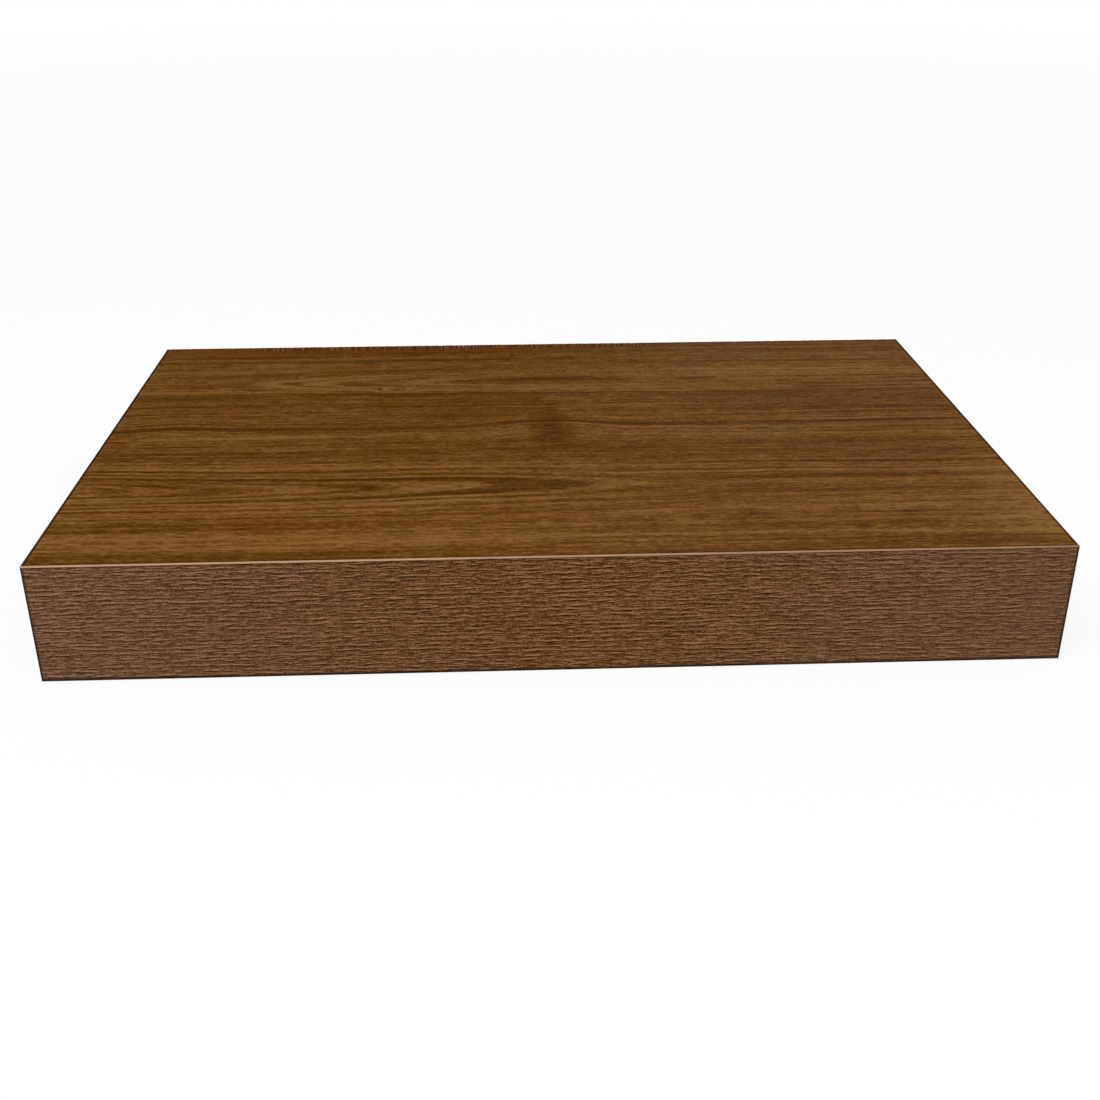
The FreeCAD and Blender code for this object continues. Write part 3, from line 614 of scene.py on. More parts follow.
def sawn_chipboard(name, colours, chip):
    """Chipboard, glued and pressed wood chips, sawn to strips and left raw.

    The eye gets pale and brown flakes that lie in the board's plane, with small dark gaps between them.
    """
    material, tree = new_material(name)
    place = pattern_space(tree, chip)
    ragged = add_node(tree, "TexNoise", [place, 1.7, 2], "Color")
    place = add_node(tree, "VectorMath", [ragged, (0.9, 0.9, 0.9), place], operation="MULTIPLY_ADD")
    flakes = add_node(tree, "TexVoronoi", [place, 1], "Color")
    gaps = add_node(tree, "TexVoronoi", [place, 1], feature="DISTANCE_TO_EDGE")
    fibres = add_node(tree, "TexNoise", [place, 4, 3])
    flake = add_node(tree, "SeparateXYZ", [flakes])
    tone = weighed_tone(tree, [(flake, 0.9), (fibres, 0.5)])
    stops = [(0, colours.chip_dark), (0.35, colours.pine_late), (0.7, colours.chip_light)]
    wood = add_node(tree, "ValToRGB", [tone], stops=stops)
    gap = add_node(tree, "MapRange", [gaps, 0, 0.07, 0.45, 0])
    wood = add_node(tree, "Mix", [gap, wood, colours.walnut_dark], data_type="RGBA")
    level = add_node(tree, "MapRange", [gaps, 0, 0.07])
    return close_material(material, {"Base Color": wood, "Roughness": 0.8}, level, 0.12 * MM)


def along_axis(axis, lengthwise, crosswise):
    """Feature sizes that are long in one direction of the board, X or Y, and short in the others."""
    return [lengthwise if i == axis else crosswise for i in (X, Y, Z)]


def planed_pine(name, colours, sizes, axis, pith):
    """Planed softwood: pale early wood with a darker line at the end of each year's growth.

    The rings lie round a pith that runs along the piece, so faces and end grain agree. Pith is given in
    millimetres.
    """
    material, tree = new_material(name)
    wander = mottle(tree, along_axis(axis, 400, 30), 2)
    away = add_node(tree, "VectorMath", [pattern_space(tree, (1, 1, 1)), pith], operation="SUBTRACT")
    radial = add_node(tree, "VectorMath", [away, along_axis(axis, 0, 1)], operation="MULTIPLY")
    radius = add_node(tree, "VectorMath", [radial], "Value", operation="LENGTH")
    radius = add_node(tree, "Math", [wander, 9, radius], operation="MULTIPLY_ADD")
    seasons = mottle(tree, along_axis(axis, 700, 8), 1)
    radius = add_node(tree, "Math", [seasons, 6, radius], operation="MULTIPLY_ADD")
    years = add_node(tree, "Math", [radius, sizes.pine_ring / MM], operation="DIVIDE")
    season = add_node(tree, "Math", [years], operation="FRACT")
    early, late = colours.pine_early, colours.pine_late
    stops = [(0, early), (0.55, early), (0.9, late), (1, early)]
    wood = add_node(tree, "ValToRGB", [season], stops=stops)
    fibre = mottle(tree, along_axis(axis, 18, 0.3), 3, 0.6)
    wood = uneven(tree, wood, fibre, (0.3, 0.7), (0.88, 1.08))
    return close_material(material, {"Base Color": wood, "Roughness": 0.62}, fibre, 0.05 * MM)


def turned_beech(name, colours, axis):
    """Beech dowel rod: pinkish ground with short darker flecks along the rod."""
    material, tree = new_material(name)
    flecks = mottle(tree, along_axis(axis, 2.4, 0.3), 2)
    fleck = add_node(tree, "MapRange", [flecks, 0.58, 0.7])
    wood = add_node(tree, "Mix", [fleck, colours.beech, colours.beech_fleck], data_type="RGBA")
    return close_material(material, {"Base Color": wood, "Roughness": 0.6}, flecks, 0.04 * MM)


def kraft_paper(colours):
    """Unbleached kraft paper: matt brown with long pale and dark fibres."""
    material, tree = new_material("kraft_paper_honeycomb")
    place = pattern_space(tree, (1.2, 1.2, 3))
    fibres = add_node(tree, "TexNoise", {"Vector": place, "Scale": 1, "Detail": 4, "Distortion": 1.5})
    shade = uneven(tree, colours.kraft, fibres, (0.3, 0.7), (0.8, 1.2))
    return close_material(material, {"Base Color": shade, "Roughness": 0.9}, fibres, 0.05 * MM)


def zinc_plate(name, colours, marks, roughness):
    """Electroplated zinc over mild steel: cool silver, softly clouded, with the steel's own marks below.

    Marks are the sizes in millimetres of the rolling or drawing marks along X, Y and Z.
    """
    material, tree = new_material(name)
    clouds = mottle(tree, (9, 9, 9), 4, 0.65)
    lines = mottle(tree, marks, 2)
    shade = uneven(tree, colours.zinc, clouds, (0.3, 0.7), (0.82, 1.08))
    gloss = add_node(tree, "MapRange", [clouds, 0.3, 0.7, roughness + 0.1, roughness])
    shader = {"Base Color": shade, "Metallic": 1, "Roughness": gloss}
    return close_material(material, shader, lines, 0.005 * MM)


def turned_brass(colours):
    """Free-cutting brass, turned: yellow metal with fine rings from the tool."""
    material, tree = new_material("brass_turned")
    rings = mottle(tree, (8, 8, 0.25), 2)
    gloss = add_node(tree, "MapRange", [rings, 0.3, 0.7, 0.22, 0.34])
    shader = {"Base Color": colours.brass, "Metallic": 1, "Roughness": gloss}
    return close_material(material, shader, rings, 0.015 * MM)


def black_oxide(colours):
    """Black oxide on hardened steel: near black, a dull oily sheen with paler worn specks."""
    material, tree = new_material("steel_black_oxide")
    specks = mottle(tree, (0.5, 0.5, 0.5), 3)
    shade = uneven(tree, colours.oxide, specks, (0.4, 0.75), (0.9, 1.9))
    gloss = add_node(tree, "MapRange", [specks, 0.3, 0.7, 0.34, 0.46])
    shader = {"Base Color": shade, "Metallic": 0.8, "Roughness": gloss}
    return close_material(material, shader, specks, 0.01 * MM)


def coat(node, material):
    """Gives a node of the frame its finish."""
    item = frame["nodes"][node]
    for slot in item.material_slots:
        slot.material = material


def new_mesh(name, points, faces, materials, shades=None):
    """A smooth-shaded mesh with its normals outward. Shades are the faces' material numbers."""
    mesh = bpy.data.meshes.new(name)
    mesh.from_pydata(np.asarray(points).tolist(), [], faces)
    for material in materials:
        mesh.materials.append(material)
    if shades is not None:
        mesh.polygons.foreach_set("material_index", shades)
    solid = bmesh.new()
    solid.from_mesh(mesh)
    bmesh.ops.recalc_face_normals(solid, faces=solid.faces)
    solid.to_mesh(mesh)
    solid.free()
    mesh.shade_smooth()
    mesh.set_sharp_from_angle(angle=SHARP)
    return mesh


def new_object(name, data):
    """An object in the scene."""
    item = bpy.data.objects.new(name, data)
    bpy.context.scene.collection.objects.link(item)
    return item


def stand_in(node, mesh):
    """Shows a mesh in place of a node, on the node's body."""
    piece = new_object(mesh.name, mesh)
    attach(piece, frame["nodes"][node]["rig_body"])
    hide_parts(node)


def joined_rings(rings, closed=False):
    """Points and faces of a skin over rings of equally many points. A closed skin joins its last ring to
    its first, and an open one is capped at both ends."""
    count = len(rings[0])
    points = np.concatenate(rings)
    faces = []
    for i in range(len(rings) if closed else len(rings) - 1):
        here = i * count
        above = (i + 1) % len(rings) * count
        for j in range(count):
            k = (j + 1) % count
            faces.append((here + j, here + k, above + k, above + j))
    if not closed:
        faces.append(tuple(range(count)))
        faces.append(tuple(range(len(points) - count, len(points))))
    return points, faces


def full_turn(count):
    """That many directions round a turned piece, in radians."""
    return np.linspace(0, 2 * math.pi, count, endpoint=False)


def turned_ring(radius, height, axis, centre, count):
    """One ring of a turned piece. The radius may be one number or one for each point."""
    turns = full_turn(count)
    side, other = [a for a in (X, Y, Z) if a != axis]
    ring = np.empty((count, 3))
    ring[:, side] = centre[side] + radius * np.cos(turns)
    ring[:, other] = centre[other] + radius * np.sin(turns)
    ring[:, axis] = height
    return ring


def lattice(u, v, cell_u, cell_v, rng):
    """Smooth noise, 0 to 1, whose rows are each shifted by their own amount, so that no columns show."""
    table = rng.random((512, 512))
    shifts = rng.random(512) * 512
    rows = v / cell_v
    row = np.floor(rows).astype(int)
    part = rows - row

    def level(index):
        columns = u / cell_u + shifts[index % 512]
        column = np.floor(columns).astype(int)
        share = columns - column
        share = share * share * (3 - 2 * share)
        left = table[index % 512, column % 512]
        right = table[index % 512, (column + 1) % 512]
        return left + (right - left) * share

    part = part * part * (3 - 2 * part)
    below = level(row)
    return below + (level(row + 1) - below) * part


# The bands' mesh and their embossing. The ground's two waves have a height, and a length and a width in
# millimetres. The fibres stray from their even spread by a share of the band, and have a half length
# that is a share of the longest, and a lean. Their waves have a swing in millimetres and a number of
# radians to the millimetre. A fibre's pore is a share as deep as it is high, and lies so many widths
# below it.
ROUNDING_STEPS = 4  # faces across a rounded edge
EMBOSS_STEPS = (0.85 * MM, 0.25 * MM)  # size of the faces along a band and up it
EVEN_SPREAD = (0.7549, 0.5698)  # steps that scatter the fibres evenly in both directions
GROUND_LEVEL = 0.35
GROUND_WAVES = [(0.12, 5, 0.8), (0.18, 1.7, 0.45)]
FIBRE_SCATTER = 0.02
FIBRE_HALF = (0.18, 0.85)
FIBRE_LEAN = 0.03
FIBRE_SWING = (0.03, 0.14)
FIBRE_BEND = (0.7, 1.5)
FIBRE_RISE = (0.2, 0.58)
PORE_DEPTH = 0.9
PORE_PLACE = 1.7


def pressed_fibres(us, vs, sizes, rng):
    """Heights of the embossing at places along and up a band, from 0 in its pores to 1 on its fibres.

    Each fibre is a short wavy ridge that leans a little and tapers at both ends, with a pore along its
    lower side. The ground between them is softly uneven.
    """
    u, v = np.meshgrid(us, vs)
    height = GROUND_LEVEL
    for rise, long, wide in GROUND_WAVES:
        height = height + rise * lattice(u, v, long * MM, wide * MM, rng)
    length, pitch, width = sizes.emboss_length, sizes.emboss_pitch, sizes.emboss_width
    count = round(np.ptp(us) * np.ptp(vs) / (length * pitch))
    for i in range(count):
        middle_u = us[-1] * ((i * EVEN_SPREAD[0] + rng.uniform(0, FIBRE_SCATTER)) % 1)
        middle_v = vs[-1] * ((i * EVEN_SPREAD[1] + rng.uniform(0, FIBRE_SCATTER)) % 1)
        half = length * rng.uniform(*FIBRE_HALF)
        lean = rng.normal(0, FIBRE_LEAN) * half
        swing = rng.uniform(*FIBRE_SWING) * MM
        bend = rng.uniform(*FIBRE_BEND) / MM
        rise = rng.uniform(*FIBRE_RISE)
        columns = slice(*np.searchsorted(us, (middle_u - half, middle_u + half)))
        spread = 4 * width + abs(lean) + swing
        rows = slice(*np.searchsorted(vs, (middle_v - spread, middle_v + spread)))
        run = (us[columns] - middle_u) / half
        path = middle_v + lean * run + swing * np.sin(run * half * bend + middle_v / MM)
        off = (vs[rows, None] - path) / width
        ridge = np.exp(-off * off) - PORE_DEPTH * np.exp(-((off + PORE_PLACE) ** 2))
        height[rows, columns] += rise * (1 - run * run) * ridge
    return np.clip(height, 0, 1)


def edge_stops(length, radius, step):
    """Places from 0 to length, close together on a rounding at each end, and how deep each lies there."""
    turns = np.linspace(0, QUARTER, ROUNDING_STEPS + 1)[:-1]
    rounded = radius * (1 - np.cos(turns)) if radius else np.empty(0)
    sunk = radius * (1 - np.sin(turns)) if radius else np.empty(0)
    inner = np.linspace(radius, length - radius, round((length - 2 * radius) / step) + 1)
    places = np.concatenate([rounded, inner, length - rounded[::-1]])
    depths = np.concatenate([sunk, 0 * inner, sunk[::-1]])
    return places, depths


def edge_band(side, sizes, materials, radius, bare, outward, seed):
    """An embossed band over one side of the shelf, as a closed mesh with rounded edges.

    Outward is the direction that it faces. The materials are those of the face, of the bare upper edge
    down to a depth, and of the other edges, whose dark finish is painted shade. The points keep a tone
    that follows the relief as the attribute "print": painted shade in the pores and a painted highlight
    on the fibres.
    """
    node = side + "_edge_band"
    low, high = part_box(node)
    through = Y if outward[Y] else X
    along = X + Y - through
    face, back = (high, low) if outward[through] > 0 else (low, high)
    us, sunk_u = edge_stops(high[along] - low[along], radius if along == X else 0, EMBOSS_STEPS[0])
    vs, sunk_v = edge_stops(high.z - low.z, radius, EMBOSS_STEPS[1])
    relief = pressed_fibres(us, vs, sizes, np.random.default_rng(seed))
    # The tone follows the relief height: painted shade in the pores, painted highlight on the fibres
    printed = 0.5 + relief - relief.mean()
    sunk = np.maximum(sunk_u[None, :], sunk_v[:, None])
    depth = sunk + (sunk == 0) * sizes.emboss_depth * (1 - relief)
    rows, columns = depth.shape
    skin = np.empty((rows, columns, 3))
    skin[..., along] = low[along] + us[None, :]
    skin[..., Z] = low.z + vs[:, None]
    skin[..., through] = face[through] - outward[through] * depth

    index = np.arange(rows * columns).reshape(rows, columns)
    corners = [index[:-1, :-1], index[:-1, 1:], index[1:, 1:], index[1:, :-1]]
    quads = np.stack([c.ravel() for c in corners], 1)
    rim = np.concatenate([index[0, :-1], index[:-1, -1], index[-1, :0:-1], index[:0:-1, 0]])
    behind = skin.reshape(-1, 3)[rim]
    behind[:, through] = back[through]
    rear_rim = rows * columns + np.arange(len(rim))
    sides = np.stack([rim, np.roll(rim, -1), np.roll(rear_rim, -1), rear_rim], 1)
    points = np.concatenate([skin.reshape(-1, 3), behind])
    faces = quads.tolist() + sides.tolist() + [rear_rim.tolist()]

    on_edge = np.concatenate([sunk.ravel()[quads].max(1) > 0, np.ones(len(sides), bool)])
    level = np.concatenate([points[quads][..., Z].mean(1), points[sides][..., Z].mean(1)])
    # Faces on the lower edges and ends take the dark finish, as painted shade
    edge_shade = np.where(level > high.z - bare, 1, 2)
    shades = np.append(np.where(on_edge, edge_shade, 0), 2)

    name = side + "_band_embossed"
    mesh = new_mesh(name, points, faces, materials, shades.astype(np.int32))
    tones = np.concatenate([printed.ravel(), np.full(len(behind), 0.5)])
    mesh.attributes.new("print", "FLOAT", "POINT").data.foreach_set("value", tones.astype(np.float32))
    stand_in(node, mesh)


class Undoable:
    """What the shelf's operators share: each can be repeated with other settings, and undone."""

    bl_options = {"REGISTER", "UNDO"}


# The top foil's sawn back edge: its points' spacing and how unevenly they lie, the length of its chips
# and of its worn parts, the share of their depth that the chips keep between those, and the foil's rows
# of points next to the edge. The seed is that of the chips.
CHIP_STEP = 0.55 * MM
CHIP_UNEVENNESS = 0.3 * MM
CHIP_LENGTH = 1.4 * MM
WORN_LENGTH = 40 * MM
LEAST_WEAR = 0.15
EDGE_ROWS = (-20 * MM, -4 * MM, -1.5 * MM)
CHIP_SEED = 11


class SHELF_OT_foils(Undoable, bpy.types.Operator):
    """Printed walnut foils on the top, with its sawn back edge, and on the underside"""

    bl_idname = "shelf.foils"
    bl_label = "Decor foils"

    def execute(self, context):
        sizes, colours = context.scene.shelf_sizes, context.scene.shelf_colours
        top = printed_walnut("walnut_decor_top", colours, sizes, WALNUT_FIGURE, sawn=True)
        turned = {**WALNUT_FIGURE, "turn": -1, "shift": (48, -FIGURE_DEPTH, 0)}
        coat("bottom_foil", printed_walnut("walnut_decor_underside", colours, sizes, turned))
        low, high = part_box("top_foil")
        rng = np.random.default_rng(CHIP_SEED)
        steps = round((high.x - low.x) / CHIP_STEP)
        xs = np.linspace(low.x, high.x, steps + 1)
        xs[1:-1] += (rng.random(steps - 1) - 0.5) * CHIP_UNEVENNESS
        torn = lattice(xs - low.x, 0 * xs, CHIP_LENGTH, 1, rng) ** 3
        worn = np.clip(lattice(xs - low.x, 0 * xs, WORN_LENGTH, 1, rng), LEAST_WEAR, 1)
        sawn = high.y - sizes.chip_depth * torn * worn
        rows = [0 * xs + y for y in (low.y, low.y / 2, *EDGE_ROWS)]
        upper = np.stack([np.stack([xs, ys, 0 * xs + high.z], 1) for ys in (*rows, sawn)])
        lower = upper.copy()
        lower[..., Z] = low.z
        points, faces = joined_rings(np.concatenate([upper, lower[::-1]]).swapaxes(0, 1))
        stand_in("top_foil", new_mesh("top_decor_foil", points, faces, [top]))
        return {"FINISHED"}


class SHELF_OT_skins(Undoable, bpy.types.Operator):
    """Raw hardboard skins under the foils"""

    bl_idname = "shelf.skins"
    bl_label = "Hardboard skins"

    def execute(self, context):
        colours = context.scene.shelf_colours
        board = raw_hardboard(colours)
        coat("top_skin", board)
        coat("bottom_skin", board)
        return {"FINISHED"}


class SHELF_OT_bands(Undoable, bpy.types.Operator):
    """Embossed bands over the front and both ends"""

    bl_idname = "shelf.bands"
    bl_label = "Edge bands"

    def execute(self, context):
        sizes, colours = context.scene.shelf_sizes, context.scene.shelf_colours
        front_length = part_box("front_edge_band")[1].x * 2
        front = embossed_decor("band_embossed_front", colours, sizes, front_length)
        end = embossed_decor("band_embossed_end", colours, sizes)
        bare, thin, stain_and_shade = colours.band_core, colours.band_core_thin, colours.band_stain_and_shade
        core = milled_edge("band_core_milled", bare, thin, axis=X, span=(-60, 330))
        # The side bands' upper edges: pale core at the front, turning dark towards the back as painted
        # shade
        thin_core_then_shade = milled_edge("band_core_thin_then_shaded", thin, stain_and_shade, axis=Y, span=(-235, -120))
        # The dark finish of the bands' lower edges and ends is painted shade
        stain = milled_edge("band_edge_painted_shade", stain_and_shade)
        finishes = [front, core, stain]
        edge_band("front", sizes, finishes, 0.6 * MM, bare=0.3 * MM, outward=(0, -1), seed=21)
        finishes = [end, thin_core_then_shade, stain]
        for side, outward, seed in (("left", (-1, 0), 22), ("right", (1, 0), 23)):
            edge_band(side, sizes, finishes, 0.3 * MM, bare=0.01 * MM, outward=outward, seed=seed)
        return {"FINISHED"}


class SHELF_OT_rails(Undoable, bpy.types.Operator):
    """Chipboard strips of the hidden frame"""

    bl_idname = "shelf.rails"
    bl_label = "Chipboard rails"

    def execute(self, context):
        sizes, colours = context.scene.shelf_sizes, context.scene.shelf_colours
        chip = sizes.wood_chip / MM
        thin = chip / 4
        coat("front_rail", sawn_chipboard("chipboard_front", colours, (chip, thin, chip)))
        ends = sawn_chipboard("chipboard_ends", colours, (thin, chip, chip))
        coat("left_rail", ends)
        coat("right_rail", ends)
        return {"FINISHED"}


class SHELF_OT_back_rail(Undoable, bpy.types.Operator):
    """Pine back rail, bored for the rods"""

    bl_idname = "shelf.back_rail"
    bl_label = "Pine back rail"

    def execute(self, context):
        sizes, colours = context.scene.shelf_sizes, context.scene.shelf_colours
        coat("back_rail", planed_pine("pine_back_rail", colours, sizes, X, pith=(0, -62, -48)))
        return {"FINISHED"}


class SHELF_OT_ribs(Undoable, bpy.types.Operator):
    """Bored pine ribs that take the rods"""

    bl_idname = "shelf.ribs"
    bl_label = "Pine ribs"

    def execute(self, context):
        sizes, colours = context.scene.shelf_sizes, context.scene.shelf_colours
        for side, pith in (("left", (-160, 0, 40)), ("right", (70, 0, -55))):
            coat(side + "_rib", planed_pine("pine_" + side + "_rib", colours, sizes, Y, pith))
        return {"FINISHED"}


def joined_solid(node):
    """A copy of a node's mesh to work on, with its doubled corners joined."""
    solid = bmesh.new()
    solid.from_mesh(frame["nodes"][node].data)
    bmesh.ops.remove_doubles(solid, verts=solid.verts, dist=SAME_PLACE)
    return solid


def loose_boxes(node):
    """The lowest and highest corner of each separate solid of a node."""
    solid = joined_solid(node)
    waiting = set(solid.verts)
    boxes = []
    while waiting:
        reached = [waiting.pop()]
        corners = []
        while reached:
            vertex = reached.pop()
            corners.append(tuple(vertex.co))
            for edge in vertex.link_edges:
                other = edge.other_vert(vertex)
                if other in waiting:
                    waiting.remove(other)
                    reached.append(other)
        corners = np.array(corners)
        boxes.append((corners.min(0), corners.max(0)))
    solid.free()
    return sorted(boxes, key=lambda b: tuple(np.round(b[0], 5)))


# The dowels
FLUTE_DEPTH = 0.25 * MM
DOWEL_CHAMFER = 0.8 * MM


def fluted_dowel(low, high, axis, sizes):
    """A dowel with straight glue flutes and chamfered ends, inside the box of the plain one."""
    centre = (low + high) / 2
    radius = (high[Z] - low[Z]) / 2
    count = sizes.dowel_flutes * 6  # six corners to a flute
    turns = full_turn(count)
    flute = np.clip(np.cos(turns * sizes.dowel_flutes), 0, 1)
    fluted = radius - FLUTE_DEPTH * flute
    profile = [
        (fluted - DOWEL_CHAMFER, low[axis]),
        (fluted, low[axis] + DOWEL_CHAMFER),
        (fluted, high[axis] - DOWEL_CHAMFER),
        (fluted - DOWEL_CHAMFER, high[axis]),
    ]
    return joined_rings([turned_ring(r, height, axis, centre, count) for r, height in profile])


class SHELF_OT_dowels(Undoable, bpy.types.Operator):
    """Fluted beech dowels of the frame's joints"""

    bl_idname = "shelf.dowels"
    bl_label = "Beech dowels"

    def execute(self, context):
        sizes, colours = context.scene.shelf_sizes, context.scene.shelf_colours
        for node, axis in (
            ("front_dowels", Y),
            ("rib_dowels", Y),
            ("left_corner_dowels", X),
            ("right_corner_dowels", X),
        ):
            points, faces = [], []
            for low, high in loose_boxes(node):
                pin_points, pin_faces = fluted_dowel(low, high, axis, sizes)
                start = sum(len(p) for p in points)
                points.append(pin_points)
                faces += [tuple(start + i for i in f) for f in pin_faces]
            wood = turned_beech("beech_" + node, colours, axis)
            name = node + "_fluted"
            stand_in(node, new_mesh(name, np.concatenate(points), faces, [wood]))
        return {"FINISHED"}


class SHELF_OT_honeycombs(Undoable, bpy.types.Operator):
    """Kraft paper cores in the three bays"""

    bl_idname = "shelf.honeycombs"
    bl_label = "Paper honeycombs"

    def execute(self, context):
        colours = context.scene.shelf_colours
        paper = kraft_paper(colours)
        for side in ("left", "centre", "right"):
            coat(side + "_honeycomb", paper)
        return {"FINISHED"}


# The wall plate
PLATE_ROUNDING = 0.25 * MM  # of the edges that turn more than PLATE_EDGE
PLATE_EDGE = math.radians(30)
PLATE_FLAT = math.radians(1)  # faces that turn less than this are one
FLAT_AREA = 50 * MM * MM  # faces larger than this are flat, the others rounded
FACES_WALL = 0.999  # so squarely a face looks along Y to be flat


class SHELF_OT_wall_plate(Undoable, bpy.types.Operator):
    """Zinc-plated steel strip with softened edges"""

    bl_idname = "shelf.wall_plate"
    bl_label = "Wall plate"

    def execute(self, context):
        colours = context.scene.shelf_colours
        zinc = zinc_plate("zinc_plate_rolled", colours, marks=(40, 3, 0.4), roughness=0.28)
        solid = joined_solid("wall_plate")
        bmesh.ops.dissolve_limit(solid, angle_limit=PLATE_FLAT, verts=solid.verts, edges=solid.edges)
        rims = [e for e in solid.edges if e.is_manifold and e.calc_face_angle() > PLATE_EDGE]
        rounding = {"offset": PLATE_ROUNDING, "segments": 2, "profile": 0.5}
        bmesh.ops.bevel(solid, geom=rims, affect="EDGES", clamp_overlap=True, **rounding)
        for face in solid.faces:
            face.smooth = face.calc_area() < FLAT_AREA and abs(face.normal.y) < FACES_WALL
        for edge in solid.edges:
            gentle = edge.is_manifold and edge.calc_face_angle() < SHARP
            edge.smooth = gentle and all(face.smooth for face in edge.link_faces)
        mesh = bpy.data.meshes.new("wall_plate_plated")
        solid.to_mesh(mesh)
        solid.free()
        mesh.materials.append(zinc)
        stand_in("wall_plate", mesh)
        return {"FINISHED"}


# The rods, and the weld at their shoulders with its ripples
ROD_RADIUS = 6 * MM
ROD_SPIGOT = 4 * MM  # radius of the end in the plate
ROD_CHAMFER = 0.3 * MM  # at the spigot's end
ROD_NOSE = 2 * MM  # chamfer at the free end
WELD_RIPPLES = 14
WELD_STEPS = 6  # faces across the weld
WELD_BULGE = 0.28 * MM
WELD_DIP = 0.1 * MM


class SHELF_OT_rods(Undoable, bpy.types.Operator):
    """Zinc-plated rods, turned at both ends and welded at the shoulder"""

    bl_idname = "shelf.rods"
    bl_label = "Rods"

    def execute(self, context):
        colours = context.scene.shelf_colours
        zinc = zinc_plate("zinc_rod_drawn", colours, marks=(0.5, 40, 0.5), roughness=0.38)
        bead = zinc_plate("zinc_weld_bead", colours, marks=(1.5, 1.5, 1.5), roughness=0.38)
        plate_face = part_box("wall_plate")[0].y
        count = 96
        for side in ("left", "right"):
            low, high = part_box(side + "_rod")
            centre = (low + high) / 2
            weld_radius = (high.x - low.x) / 2
            weld = weld_radius - ROD_RADIUS
            turns = full_turn(count)
            ripple = 0.5 - 0.5 * np.cos(turns * WELD_RIPPLES + 0.5 * np.sin(turns * 3))
            profile = [
                (ROD_SPIGOT - ROD_CHAMFER, high.y),
                (ROD_SPIGOT, high.y - ROD_CHAMFER),
                (ROD_SPIGOT, plate_face),
                (weld_radius, plate_face),
            ]
            for i in range(1, WELD_STEPS):
                share = i / WELD_STEPS
                bulge = WELD_BULGE * math.sin(share * math.pi) * (1 - 0.8 * ripple)
                reach = weld_radius - weld * share - WELD_DIP * ripple + bulge
                profile.append((reach, plate_face - weld * share))
            profile += [
                (ROD_RADIUS, plate_face - weld),
                (ROD_RADIUS, low.y + ROD_NOSE),
                (ROD_RADIUS - ROD_NOSE, low.y),
            ]
            points, faces = joined_rings([turned_ring(r, y, Y, centre, count) for r, y in profile])
            level = np.array([points[list(face), Y].mean() for face in faces])
            beaded = (level < plate_face - 0.01 * MM) & (level > plate_face - weld)
            shades = beaded.astype(np.int32)
            name = side + "_rod_welded"
            stand_in(side + "_rod", new_mesh(name, points, faces, [zinc, bead], shades))
        return {"FINISHED"}


# The lock inserts
INSERT_BORE = 3.05 * MM  # radius at the crests of the thread
INSERT_THREAD = 0.45  # depth of the thread, as a share of the pitch
INSERT_LEAD = 0.5 * MM  # how much wider the bore is at its mouths
INSERT_CHAMFER = 0.4 * MM
INSERT_BARBS = 5
BARB_DEPTH = 0.6 * MM


class SHELF_OT_lock_inserts(Undoable, bpy.types.Operator):
    """Brass inserts with barbed outsides and threaded bores"""

    bl_idname = "shelf.lock_inserts"
    bl_label = "Lock inserts"

    def execute(self, context):
        sizes, colours = context.scene.shelf_sizes, context.scene.shelf_colours
        brass = turned_brass(colours)
        count = 48
        pitch = sizes.thread_pitch
        for side in ("left", "right"):
            low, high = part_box(side + "_lock_insert")
            centre = (low + high) / 2
            outer = (high.x - low.x) / 2
            mouth = INSERT_BORE + INSERT_LEAD
            rim = outer - INSERT_CHAMFER
            profile = [(mouth, low.z), (rim, low.z), (outer, low.z + INSERT_CHAMFER)]
            step = (high.z - low.z - 2 * INSERT_CHAMFER) / INSERT_BARBS
            for i in range(INSERT_BARBS):
                foot = low.z + INSERT_CHAMFER + i * step
                profile.append((outer, foot + 0.1 * step))
                profile.append((outer - BARB_DEPTH, foot + 0.2 * step))
                profile.append((outer, foot + 0.95 * step))
            profile += [(rim, high.z), (mouth, high.z)]
            for i in range(int((high.z - low.z) / pitch)):
                top = high.z - (i + 0.3) * pitch
                profile.append((INSERT_BORE, top))
                profile.append((INSERT_BORE + INSERT_THREAD * pitch, top - 0.5 * pitch))
            rings = [turned_ring(r, z, Z, centre, count) for r, z in profile]
            points, faces = joined_rings(rings, closed=True)
            name = side + "_insert_barbed"
            stand_in(side + "_lock_insert", new_mesh(name, points, faces, [brass]))
        return {"FINISHED"}


def hexagon_radius(turns, across_flats):
    """The distance from the middle of a hexagon to its side, in each direction."""
    sixth = math.pi / 3
    return across_flats / 2 / np.cos((turns % sixth) - sixth / 2)


# The lock screws
THREAD_STEPS = 8  # rings to a turn of the thread
THREAD_DEPTH = 0.6  # share of the pitch
THREAD_SLOPE = 2.6  # times its depth that the groove's side would climb in a whole pitch
SCREW_CHAMFER = 0.8 * MM
SCREW_TIP = 0.3 * MM  # radius at the bottom of the socket and of the cup
SOCKET_FLATS = 3 * MM  # width of the hexagon across its flats
SOCKET_DEPTH = 4 * MM
SOCKET_CONE = 0.6 * MM  # drill point at the bottom of the socket
SOCKET_LEAD = 0.25 * MM  # depth of the chamfer at the socket's mouth
SOCKET_MOUTH = 1.95 * MM  # radius
CUP_RIM = 1.3 * MM  # from the thread's crests to the rim of the cup point
CUP_DEPTH = 0.9 * MM


